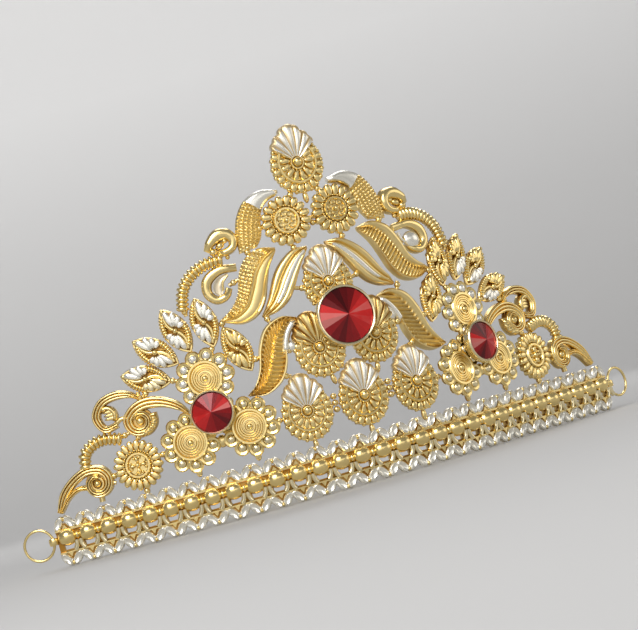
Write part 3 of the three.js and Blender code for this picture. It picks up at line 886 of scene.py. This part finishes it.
def rope(points):
    """A round core with links across it."""
    line = smooth(points, 48)
    path = raised(line, 1.25)
    length = np.linalg.norm(np.diff(line, axis=0), axis=1).sum()
    core = wire(path, 1.05)
    # painted shade: the core between the links is painted dark
    core.tone[:] = 0.0
    links = worked(LINKS, drawn(path), Count=int(length / LINK_STEP))
    return {"gold": [core, links]}


def coil(centre, start, reach, inner, turns):
    """Points of a scroll's end that rolls inward, in pitches; turns is signed."""
    points = []
    for t in np.arange(2, 27) / 26:
        a = math.radians(start) + 2 * math.pi * turns * t
        r = reach + (inner - reach) * t
        points.append((centre[0] + r * math.cos(a), centre[1] + r * math.sin(a)))
    return points


def grooved_front(t, s, at):
    """Three rounded wires side by side."""
    strand = bulge((3 * s) % 1.0)
    return 0.9 + 0.6 * bulge(s) ** 0.8 + 0.8 * strand**0.7


def fluted_front(t, s, at):
    """A round back with six flutes across it."""
    return 1.0 + 1.4 * bulge(s) ** 0.8 * tapered(t) * (0.66 + 0.34 * wave(6 * t))


def scroll(points, count, stations, widths):
    return tapering(points, count, stations, widths, 15, grooved_front)


def rod(points, thick, out=1.0):
    line = smooth(points, 10) if len(points) > 2 else np.array(points) * PITCH
    return wire(raised(line, out), thick)


def end_scroll():
    horn = [[14.6, 2.4], [14.15, 3.18], [13.5, 3.68], [12.9, 3.88]]
    horn += coil((12.58, 3.22), 82, 0.64, 0.3, 1.08)
    spur = [[14.52, 2.38], [14.0, 2.95], [13.5, 3.2], [13.05, 3.16]]
    heart = [
        disc(0.6, 0.1, 0.9, 24),
        hoop(0.26, 0.3, 1.3, sides=18),
        bead(0, 0, 1.3, 0.17, 0.17, 1.1, sides=12),
    ]
    gold = [
        scroll(horn, 110, [0, 0.12, 0.5, 1], [0.24, 0.42, 0.46, 0.26]),
        scroll(spur, 30, [0, 1], [0.16, 0.28]),
        soldered(heart).moved(12.58 * PITCH, 3.22 * PITCH),
        rod([[12.56, 2.75], [12.58, 2.38]], 0.75),
        rod([[11.9, 3.08], [11.76, 3.04]], 0.5),
    ]
    return {"gold": gold}


def curl_scroll():
    line = [[9.76, 6.4], [10.12, 6.66], [10.8, 6.8], [11.5, 6.62], [11.88, 6.05], [11.6, 5.46]]
    hood = [[11.62, 6.28], [11.3, 6.36], [11.06, 6.2], [11.0, 5.94], [11.1, 5.7]]
    gold = [
        scroll(line + [[11.0, 5.52]], 76, [0, 0.1, 0.25, 0.7, 1], [0.14, 0.3, 0.42, 0.42, 0.3]),
        strip(smooth(hood, 30), 0.24, 8, rounded_front(1.4)),
    ]
    for up in (5.87, 6.02, 6.17):
        gold.append(lobe(11.22, up, 0.09, 0.31, RIGHT, high=2.1, flare=0.2))
    gold.append(bead(11.34, 5.42, 1.1, 0.15, 0.15, 1.0))
    gold.append(rod([[11.1, 5.56], [10.8, 5.72], [10.52, 5.68]], 0.6, 1.2))
    return {"gold": gold}


def stem_scroll():
    line = [[7.74, 5.16], [8.14, 5.6], [8.85, 5.98], [9.6, 6.1], [10.15, 5.94]]
    line += coil((9.96, 5.4), 52, 0.6, 0.28, -1.05)
    shell = [[9.34, 5.62], [9.36, 5.2], [9.66, 4.9], [10.1, 4.84]]
    heart = [disc(0.6, 0.1, 0.9, 24), bead(0, 0, 1.3, 0.2, 0.2, 1.1, sides=12)]
    gold = [
        scroll(line, 104, [0, 0.12, 0.32, 0.62, 1], [0.18, 0.42, 0.56, 0.46, 0.26]),
        strip(smooth(shell, 60), 0.36, 8, fluted_front),
        soldered(heart).moved(9.96 * PITCH, 5.4 * PITCH),
    ]
    return {"gold": gold}


def leaf_curl(label):
    line = [[3.96, 10.86], [4.8, 10.92], [5.42, 10.56], [5.5, 10.02], [5.16, 9.66], [4.72, 9.74]]
    line.append([4.52, 10.05])
    gold = [tapering(line, 70, [0, 0.45, 1], [0.34, 0.5, 0.3], 10, rounded_front(1.35))]
    if label == "left":
        outer = [[4.42, 10.72], [4.86, 10.64], [5.16, 10.4], [5.24, 10.05], [5.05, 9.84]]
        inner = [[4.42, 10.62], [4.7, 10.42], [4.8, 10.2], [4.82, 9.98], [4.96, 9.82]]
        white = [between(smooth(outer, 30), smooth(inner, 30), 6, hollow_front, back=0.4)]
        gold.append(rod([[4.44, 10.62], [4.72, 10.36], [4.8, 10.0]], 0.28, 1.4))
    else:
        bulb = bead(4.78, 10.14, 1.1, 0.46, 0.42, 1.5, -0.5, 18, 10)
        white = [bulb, rod([[4.12, 10.6], [4.2, 10.3], [4.34, 10.12]], 0.4, 1.3)]
    return {"gold": gold, "white": white}


def shoulder_bud():
    hood = [[5.06, 11.86], [4.8, 12.22], [4.36, 12.46], [3.98, 12.4], [3.8, 12.1], [3.9, 11.78]]
    hood += [[4.22, 11.64], [4.66, 11.68]]
    gold = [
        tapering(hood, 60, [0, 0.3, 0.7, 1], [0.32, 0.62, 0.4, 0.3], 10, rounded_front(1.7)),
        bead(4.16, 12.14, 1.2, 0.13, 0.12, 0.9),
        bead(4.42, 11.98, 1.1, 0.24, 0.16, 1.2, -0.4),
        bead(4.78, 11.78, 1.2, 0.2, 0.18, 1.2),
        bead(4.5, 11.52, 0.9, 0.11, 0.11, 0.7),
        bead(4.22, 11.4, 0.9, 0.11, 0.11, 0.7),
    ]
    return {"gold": gold}


# ---- the base band ----
STRIP_FRONT = 1.1
EYE_ALONG = SCALLOPS / 2 * SCALLOP + 0.95
EYE_UP = 1.22


def band():
    """A pierced strip, domes in a row, prongs and two rows of dished lobes."""
    s = SCALLOP / PITCH
    white, pale = [], []
    for hand in (-1, 1):
        white.append(lobe(hand * 0.262 * s, 0.31, 0.205 * s, 0.37, hand * -0.66, sunk=0.23))
        white.append(lobe(hand * 0.255 * s, 1.94, 0.2 * s, 0.365, hand * 0.58, sunk=0.23))
        foot_up = [[0.5 - hand * 0.25, 0.66], [0.5 - hand * 0.13, 0.82], [0.5 - hand * 0.1, 1.08]]
        prong = smooth(foot_up, 7) * (s, 1)
        pale.append(wire(raised(prong, 1.6), 0.66))
    gold = [
        bead(0, 1.28, 1.1, 0.47 * s, 0.39, DOME_OUT - 1.1, sides=16, rings=10),
        bead(0.5 * s, 1.28, 1.3, 0.13 * s, 0.2, 1.1, sides=8),
        wedge([(0, 0.34), (0.17, 0.62), (-0.17, 0.62)]),
        wedge([(0, 1.9), (-0.19, 1.66), (0.19, 1.66)]),
        bead(0, 2.12, 1.1, 0.1, 0.11, 0.95, sides=8),
        bead(0, 0.12, 1.1, 0.1, 0.11, 0.95, sides=8),
    ]
    made = {"gold": [in_a_row(gold), pierced_strip(), end_eye(-1), end_eye(1)]}
    reach = 0.5 * SCALLOPS * SCALLOP
    for up, thick in ((0.62, 0.36), (1.62, 0.42)):
        rail = [(x, up * PITCH, 1.25) for x in np.linspace(-reach, reach, 125)]
        made["gold"].append(wire(rail, thick, 6))
    made["white"], made["pale"] = [in_a_row(white)], [in_a_row(pale)]
    return {k: [soldered(v).moved(across=BAND_SHIFT)] for k, v in made.items()}


def wedge(corners_up):
    """A small three-cornered plate that tapers to its front; corners in scallops and pitches."""
    low = np.array([(x * SCALLOP, y * PITCH, 0.9) for x, y in corners_up])
    taper = 0.28
    high = (1 - taper) * low + taper * low.mean(axis=0)
    high[:, 2] = 1.6
    return lofted([low, high])


def pierced_strip():
    """The band's backing, cut through under every dome."""
    numbers, faces, cells = {}, [], []

    def number(x, y, out):
        return numbers.setdefault((round(x, 4), round(y, 4), out), len(numbers))

    ys = [0.3, 0.74, 0.96, BAND_UP - 0.32]
    for i in range(SCALLOPS):
        k = i - (SCALLOPS - 1) / 2
        xs = [k - 0.5, k - 0.25, k + 0.25, k + 0.5]
        for a, b in np.ndindex(3, 3):
            if (a, b) != (1, 1):
                corners = ((a, b), (a + 1, b), (a + 1, b + 1), (a, b + 1))
                cells.append([(xs[m], ys[n]) for m, n in corners])
    cells = [[tuple(np.round(corner, 4)) for corner in cell] for cell in cells]
    edges = {(cell[m], cell[(m + 1) % 4]) for cell in cells for m in range(4)}
    for cell in cells:
        faces.append([number(x, y, STRIP_FRONT) for x, y in cell])
        faces.append([number(x, y, 0.0) for x, y in cell[::-1]])
        for m in range(4):
            a, b = cell[m], cell[(m + 1) % 4]
            if (b, a) not in edges:
                wall = ((b, STRIP_FRONT), (a, STRIP_FRONT), (a, 0.0), (b, 0.0))
                faces.append([number(*corner, out) for corner, out in wall])
    points = np.array([(x * SCALLOP, y * PITCH, out) for x, y, out in numbers])
    # the strip's front is painted dark, as shade round the domes and prongs
    return with_painted_shade(outward(Metal(points, faces, [4] * len(faces))))


def end_eye(side):
    """An upright eye: a hoop turned so that its way through runs up."""
    eye = hoop(1.05 / PITCH, 0.2, 0.0, sides=24, section=8, deep=0.9)
    x, y, z = eye.points.T
    points = np.stack([x + side * EYE_ALONG, z + EYE_UP * PITCH, y + 1.2], 1)
    return outward(Metal(points, eye.corners, eye.sizes))


# ---- finishes ----
def new_material(name):
    """A material of this name, its nodes and its shader."""
    made = bpy.data.materials.new(name)
    made.use_nodes = True
    return made, made.node_tree, made.node_tree.nodes["Principled BSDF"]


def cloudy(tree, scale, detail, **more):
    """Uneven tone all through a piece, from its own place."""
    place = node(tree, "ShaderNodeTexCoord").outputs["Object"]
    return node(tree, "ShaderNodeTexNoise", Vector=place, Scale=scale, Detail=detail, **more)


def mixed(tree, share, first, second):
    """From the first colour to the second by this share."""
    colours = {"i6": (*first, 1), "i7": (*second, 1)}
    return node(tree, "ShaderNodeMix", {"data_type": "RGBA"}, i0=share, **colours).outputs[2]


UNEVEN = 0.7  # how far the uneven tone shifts the painted shade
DULLER = 0.2  # how much rougher the recesses are
MOTTLE = 0.12  # how much the tone varies
DENT = 0.000025  # depth of the fine pits, in metres


def plated(name, bright, deep, rough, grain, metal):
    """Plated metal: painted darker in its recesses as painted shade, and duller there, with uneven
    tone and fine pits.
    """
    made, tree, shader = new_material(name)
    height = node(tree, "ShaderNodeAttribute", {"attribute_name": "height_shade"}).outputs["Fac"]
    cloud = cloudy(tree, 210.0, 3.0)
    pits = cloudy(tree, grain, 4.0, Roughness=0.6)
    # painted shade from the height attribute, shifted by the uneven tone
    shade_and_mottle = reckoned(tree, "MULTIPLY_ADD", cloud, UNEVEN, height)
    shade_and_mottle_share = node(tree, "ShaderNodeMapRange", Value=shade_and_mottle, From_Min=0.3, From_Max=1.15)
    tone = mixed(tree, shade_and_mottle_share, deep, bright)
    vary = node(
        tree, "ShaderNodeMapRange", Value=cloud, From_Min=0.3, From_Max=0.7, To_Min=1 - MOTTLE
    )
    colour = node(tree, "ShaderNodeVectorMath", {"operation": "SCALE"}, i0=tone, Scale=vary)
    dull = node(tree, "ShaderNodeMapRange", Value=shade_and_mottle_share, To_Min=rough + DULLER, To_Max=rough)
    bump = node(tree, "ShaderNodeBump", Distance=DENT, Strength=0.6, Height=pits)
    fed(tree, shader, Base_Color=colour, Metallic=metal, Roughness=dull, Normal=bump)
    return made


# reds between the darkest and the lightest painted facet
REDS = (
    (0.1, (0.035, 0.001, 0.002)),
    (0.5, (0.26, 0.006, 0.008)),
    (0.84, (0.72, 0.022, 0.02)),
)


def foiled_glass(name):
    """Red glass over foil: each facet is painted its own depth of red, lit or dark, as a painted
    reflection.
    """
    made, tree, shader = new_material(name)
    facet = node(tree, "ShaderNodeAttribute", {"attribute_name": "facet"}).outputs["Fac"]
    depth = reckoned(tree, "MULTIPLY_ADD", cloudy(tree, 260.0, 2.0), 0.16, facet)
    ramp = node(tree, "ShaderNodeValToRGB", Fac=depth)
    stops = ramp.color_ramp.elements
    stops[0].position, stops[1].position = 0.0, 1.0
    # from a near-black facet to a pink one, a painted highlight
    stops[0].color, stops[1].color = (0.02, 0.001, 0.001, 1), (0.66, 0.20, 0.18, 1)
    for at, red in REDS:
        stops.new(at).color = (*red, 1)
    fed(tree, shader, Base_Color=ramp, Metallic=0.45, Roughness=0.2)
    fed(tree, shader, Specular_IOR_Level=0.25, Coat_Weight=0.35, Coat_Roughness=0.04)
    return made


# Each plating's slot, bright tone, deep tone (painted shade in the recesses, and on the white
# rhodium also the gold left round it), least roughness, scale of its pits and metallic.
PLATINGS = {
    "gold": ("polished_gold", (0.96, 0.75, 0.33), (0.44, 0.22, 0.04), 0.23, 900, 1.0),
    "satin": ("satin_gold", (0.95, 0.74, 0.33), (0.44, 0.23, 0.05), 0.32, 1300, 1.0),
    "pale": ("pale_gold", (0.96, 0.83, 0.52), (0.60, 0.38, 0.13), 0.2, 700, 1.0),
    "white": ("white_rhodium", (0.95, 0.92, 0.82), (0.66, 0.46, 0.17), 0.27, 900, 0.8),
}
FINISHES = {finish: (row[0], plated(*row)) for finish, row in PLATINGS.items()}
FINISHES["red"] = ("red_glass", foiled_glass("red_glass"))
SHARPEST = math.radians(50)  # a steeper edge than this stays sharp


# ---- where flat-made work goes on the bent, slightly leaning front ----
def foot(along):
    angle = np.clip(along / BEND_RADIUS, -BEND_ANGLE, BEND_ANGLE)
    straight = along - angle * BEND_RADIUS
    x = BEND_RADIUS * np.sin(angle) + straight * np.cos(angle)
    y = BEND_RADIUS * (1 - np.cos(angle)) + straight * np.sin(angle)
    return x, y, angle


def bent(metal, side=1, shift=0.0):
    """Bends flat work round the band's curve; side -1 mirrors it, shift moves it by pitches."""
    made = metal.moved(wider=side)
    along, up, out = made.points.T
    x, y, angle = foot(along + shift * PITCH)
    out = out - LEAN * np.maximum(0, up - BAND_UP * PITCH)
    x, y = x + out * np.sin(angle) + MIDDLE_X, y - out * np.cos(angle) + MIDDLE_Y
    made.points = np.stack([x, y, up], 1)
    return made


def mounted(metal, along, up, out=0.0, roll=0.0, wider=1.0, taller=1.0):
    """Sets a flat-made piece rigidly on the front at a place given in pitches."""
    made = metal.moved(wider=wider, taller=taller).moved(turn=roll, out=out)
    x, y, angle = foot(along * PITCH)
    lean = math.atan(LEAN) if up > BAND_UP else 0.0
    back = LEAN * max(0.0, (up - BAND_UP) * PITCH)
    place = (
        Matrix.Translation((x + MIDDLE_X, y + MIDDLE_Y, up * PITCH))
        @ Matrix.Rotation(float(angle), 4, "Z")
        @ Matrix.Translation((0, back, 0))
        @ Matrix.Rotation(math.pi / 2 - lean, 4, "X")
    )
    turn = np.array(place)
    made.points = made.points @ turn[:3, :3].T + turn[:3, 3]
    return made


def laid(name, metal, finish, *stands_for):
    """Makes the finished piece from crown-shaped metal in millimetres."""
    mesh = meshed(name, metal, 0.001)
    if finish == "red":
        facets = mesh.attributes.new("facet", "FLOAT", "FACE")
        facets.data.foreach_set("value", metal.facets.astype(np.float32))
        mesh.validate()
        mesh.shade_flat()
    else:
        # each point's painted shade by height, read by the plated finishes
        heights = mesh.attributes.new("height_shade", "FLOAT", "POINT")
        heights.data.foreach_set("value", metal.tone.astype(np.float32))
        mesh.validate()
        mesh.shade_smooth()
        mesh.set_sharp_from_angle(angle=SHARPEST)
    piece = shown(name, mesh)
    slot, material = FINISHES[finish]
    mesh.materials.append(material)
    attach(piece, "root")
    for one in stands_for:
        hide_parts(one)


def lay_all(node_name, parts, place):
    """Lays one piece for each finish of a solid; parts are lists of flat-made metal."""
    for finish, pieces in parts.items():
        laid(f"{node_name}_{finish}", place(soldered(pieces)), finish, node_name)


def mount_all(node_name, parts, along, up, **how):
    """Lays a solid's pieces rigidly on the front, at a place in pitches."""
    lay_all(node_name, parts, lambda metal: mounted(metal, along, up, **how))


SIDES = (("left", -1), ("right", 1))

# ---- the band, its eyes and its rings ----
RING_RADIUS, RING_WIRE = 3.8, 0.35
lay_all("base_band", band(), bent)
for label, side in SIDES:
    along = (BAND_SHIFT + side * (EYE_ALONG + RING_RADIUS)) / PITCH
    ring = [hoop(RING_RADIUS / PITCH, RING_WIRE, 1.2, sides=48, section=8)]
    mount_all(f"end_ring_{label}", {"gold": ring}, along, EYE_UP)

# ---- fans ----
FAN = fan()
mount_all("band_fan_middle", FAN, 0, 3.86)
for label, side in SIDES:
    mount_all(f"band_fan_{label}", FAN, side * 2.66, 3.86)
    cradle = {"gold": FAN["gold"] + FAN["white"]}
    mount_all(f"cradle_fan_{label}", cradle, side * 1.36, 6.46, roll=-side * math.radians(10))
mount_all("upper_fan", FAN, -0.12, 9.22)
mount_all("crest_fan", FAN, 0.03, 14.78, wider=1.06, taller=1.04)

# ---- stones in their settings: radius, wall, back, front, out, place and facets' painted light ----
# how lit or dark each long facet is painted, round from its first facet
CENTRE_PAINTED_LIGHT = (0.8, 0.7, 0.35, 0.12, 0.1, 0.3, 0.9, 0.95, 0.3, 0.18, 0.4, 0.55, 0.72, 0.78)
SIDE_PAINTED_LIGHT = (0.85, 0.6, 0.25, 0.1, 0.14, 0.45, 0.68, 0.74, 0.66, 0.5, 0.4, 0.35, 0.2, 0.3)
STONES = {
    "centre": (6.9, 0.45, 1.9, 2.0, 2.8, (0, 7.46), CENTRE_PAINTED_LIGHT),
    "side_left": (4.8, 0.4, 1.4, 1.5, 2.35, (-6.62, 4.88), SIDE_PAINTED_LIGHT),
    "side_right": (4.8, 0.4, 1.4, 1.5, 2.35, (6.62, 4.78), CENTRE_PAINTED_LIGHT),
}
for name, (radius, wall, back, front, out, place, tones) in STONES.items():
    girdle = 0.8 + back
    mount_all(f"{name}_setting", {"pale": [setting(radius, wall, girdle)]}, *place, out=out)
    glass = {"red": [stone(radius, back, front, tones)]}
    mount_all(f"{name}_stone", glass, *place, out=out + girdle)

# ---- crest flowers, end rosettes and trefoils ----
CREST_FLOWERS = {
    "left": rosette(0.54, 0.42, 17, 0.9, 0.27, True),
    "right": rosette(0.5, 0.38, 17, 0.88, 0.3, True),
}
END_ROSETTE = rosette(0.52, 0.42, 20, 0.87, 0.29, False)
TREFOIL = trefoil()
for label, side in SIDES:
    mount_all(f"crest_flower_{label}", CREST_FLOWERS[label], side * 1.21, 12.3)
    mount_all(f"end_rosette_{label}", END_ROSETTE, side * 10.56, 3.52)
    mount_all(f"trefoil_{label}", TREFOIL, side * 6.62, 4.8)

# ---- almonds: place, tilt, and the finishes of the upper and lower petals ----
ALMONDS = {
    "left": [
        (4.89, 7.32, 19, "gold", "gold"),
        (6.01, 8.85, 8, "white", "white"),
        (7.35, 8.84, 22, "white", "white"),
        (8.5, 8.16, 50, "white", "white"),
        (9.22, 7.14, 70, "white", "pale"),
    ],
    "right": [
        (4.9, 7.35, 18, "gold", "gold"),
        (5.94, 8.88, 6, "gold", "gold"),
        (7.25, 8.92, 25, "gold", "white"),
        (8.32, 8.31, 47, "gold", "white"),
        (9.1, 7.14, 70, "gold", "white"),
    ],
}
made_almonds = {}
for label, side in SIDES:
    for number, (along, up, tilt, *finishes) in enumerate(ALMONDS[label], 1):
        finishes = tuple(finishes)
        if finishes not in made_almonds:
            made_almonds[finishes] = almond(*finishes)
        how = {"roll": -side * math.radians(tilt), "wider": side}
        mount_all(f"almond_{label}_{number}", made_almonds[finishes], side * along, up, **how)

# ---- leaves, plumes, scrolls, ropes and buds; the right ones may sit nearer the middle ----
SHOULDER_ROPE = [[4.6, 11.37], [5.3, 11.34], [6.0, 11.06], [6.55, 10.5], [6.78, 9.7]]
END_ROPE = [[11.1, 4.88], [11.8, 5.05], [12.45, 4.9], [12.84, 4.54], [12.9, 4.08]]


def unlike(make):
    """The left and the right of a piece whose two sides were worked differently."""
    return [make("left"), make("right")]


def alike(parts):
    return [parts, parts]


BENT_PIECES = {
    "lower_leaf": (unlike(lower_leaf), 0),
    "outer_leaf": (unlike(outer_leaf), 0),
    "inner_leaf": (alike(inner_leaf()), 0.3),
    "plume": (alike(plume()), 0),
    "shoulder_rope": (alike(rope(SHOULDER_ROPE)), 0.15),
    "end_rope": (alike(rope(END_ROPE)), 0.2),
    "leaf_curl": (unlike(leaf_curl), 0.04),
    "shoulder_bud": (alike(shoulder_bud()), 0),
    "end_scroll": (alike(end_scroll()), 0),
    "curl_scroll": (alike(curl_scroll()), 0.3),
    "stem_scroll": (alike(stem_scroll()), 0.06),
}
for name, (both, nearer) in BENT_PIECES.items():
    for (label, side), parts in zip(SIDES, both):
        shift = -nearer if side > 0 else 0.0
        lay_all(f"{name}_{label}", parts, lambda metal: bent(metal, side, shift))

# ---- solder bars between the pieces: from one place to another, across and up in pitches ----
BLOB = 0.8 / PITCH  # half the size of the solder on a bar
SOLDER = (
    ((3.95, 6.72), (4.5, 6.62)), ((5.9, 7.8), (6.12, 7.45)), ((7.9, 6.68), (8.25, 6.8)),
    ((9.25, 6.62), (9.6, 6.42)), ((6.76, 9.75), (6.72, 9.35)), ((4.05, 10.3), (4.5, 10.16)),
    ((5.2, 8.75), (5.3, 8.45)), ((3.3, 8.45), (3.2, 8.1)), ((2.4, 6.75), (2.95, 6.55)),
    ((1.0, 9.1), (1.7, 9.3)), ((1.2, 11.2), (1.2, 10.9)), ((2.3, 12.35), (2.65, 12.2)),
    ((0.55, 13.5), (0.8, 13.3)), ((3.5, 12.2), (3.85, 12.12)), ((3.3, 11.55), (3.3, 11.2)),
    ((4.75, 11.05), (4.7, 11.35)), ((3.8, 3.75), (4.1, 3.75)), ((2.9, 5.5), (3.35, 5.65)),
    ((0.5, 5.3), (0.8, 5.55)), ((9.25, 3.7), (9.5, 3.7)), ((10.5, 2.5), (10.5, 2.15)),
    ((11.6, 3.4), (11.95, 3.3)), ((10.5, 5.05), (11.15, 4.9)), ((12.9, 4.2), (12.9, 3.85)),
    ((10.2, 4.85), (10.3, 4.6)), ((9.75, 6.1), (9.75, 6.7)), ((1.2, 4.15), (1.46, 4.15)),
    ((1.2, 3.85), (1.46, 3.85)), ((1.2, 3.55), (1.46, 3.55)),
)
bars = []
for one, two in SOLDER:
    middle = 0.5 * (np.array(one) + two)
    bars += [rod([one, two], 0.5, 0.8), bead(*middle, 0.95, 0.85 / PITCH, BLOB, 0.8)]
bars = soldered(bars)
middle_bar = [rod([[-0.2, 12.2], [0.2, 12.2]], 0.5, 0.8), bead(0, 11.95, 0.9, BLOB, BLOB, 0.8)]
laid("solder_bars", bent(soldered([bars, bars.moved(wider=-1), *middle_bar])), "gold")

# ---- a pale floor that rises into a low cove all round ----
FLOOR_FLAT, COVE = 800, 450  # radius of the flat floor and of the cove's bend, in mm
FLOOR_LOW = 0.2  # how far the floor lies below the crown
cove, tree, paint = new_material("pale_floor")
spot = node(tree, "ShaderNodeTexCoord").outputs["Object"]
parts = node(tree, "ShaderNodeSeparateXYZ", Vector=spot)
# painted darker on the flat floor and paler up the cove, to even out the stronger light on the flat
rise = node(tree, "ShaderNodeMapRange", Value=parts.outputs["Z"], From_Max=0.3)
shade = mixed(tree, rise, (0.5, 0.495, 0.49), (0.9, 0.895, 0.89))
fed(tree, paint, Base_Color=shade, Roughness=0.85)
profile = [[0, -FLOOR_LOW], [FLOOR_FLAT, -FLOOR_LOW]]
for a in np.radians(7.5 * np.arange(1, 13)):
    profile.append([FLOOR_FLAT + COVE * math.sin(a), COVE * (1 - math.cos(a)) - FLOOR_LOW])
floor_mesh = meshed("floor", turned(profile, 96), 0.001)
floor_mesh.shade_smooth()
floor_mesh.materials.append(cove)
floor = shown("floor", floor_mesh)

# ---- light ----
scene = bpy.context.scene
scene.view_settings.view_transform = "Standard"
scene.world = bpy.data.worlds.new("studio")
scene.world.use_nodes = True
sky = scene.world.node_tree
fed(sky, sky.nodes["Background"], Color=(1, 1, 1, 1), Strength=0.27)
CROWN_MIDDLE = Vector((0, 0, 0.045))


def softbox(name, azimuth, elevation, distance, size, power, tint=(1, 1, 1)):
    """A soft light that looks at the crown from that azimuth, to the left when negative."""
    lamp = bpy.data.lights.new(name, "AREA")
    lamp.shape = "RECTANGLE"
    lamp.size, lamp.size_y = size
    lamp.energy = power
    lamp.color = tint
    a, e = math.radians(azimuth), math.radians(elevation)
    way = Vector((math.sin(a) * math.cos(e), -math.cos(a) * math.cos(e), math.sin(e)))
    light = shown(name, lamp)
    light.location = CROWN_MIDDLE + way * distance
    light.rotation_euler = (-way).to_track_quat("-Z", "Y").to_euler()
    return light


softbox("key", -42, 40, 0.75, (0.4, 0.4), 3.6)
softbox("front", -2, 8, 1.15, (2.2, 0.8), 4.6)
softbox("low_left", -38, 6, 1.0, (0.6, 0.6), 1.0)
softbox("fill", 72, 12, 0.9, (0.6, 0.5), 1.0, (1.0, 0.95, 0.88))
softbox("back", 150, 50, 0.8, (0.4, 0.3), 2.0)
glow = softbox("backdrop_glow", 180, 60, 0.75, (0.9, 0.3), 3.2)
glow.rotation_euler = Vector((0, 1, -0.35)).to_track_quat("-Z", "Y").to_euler()

# ---- camera: turned to the right, up a little, and rolled ----
CAMERA_PLACE = (-0.2056, -0.57569, 0.017)
CAMERA_TURNS = ((-19.54, "Z"), (92.5, "X"), (-15.61, "Z"))
camera_data = bpy.data.cameras.new("camera")
camera_data.sensor_width = 36
camera_data.lens = 136.8
camera_data.clip_start = 0.01
camera_data.clip_end = 20
camera = shown("camera", camera_data)
scene.camera = camera
stand = Matrix.Translation(CAMERA_PLACE)
for degrees, axis in CAMERA_TURNS:
    stand = stand @ Matrix.Rotation(math.radians(degrees), 4, axis)
camera.matrix_world = stand
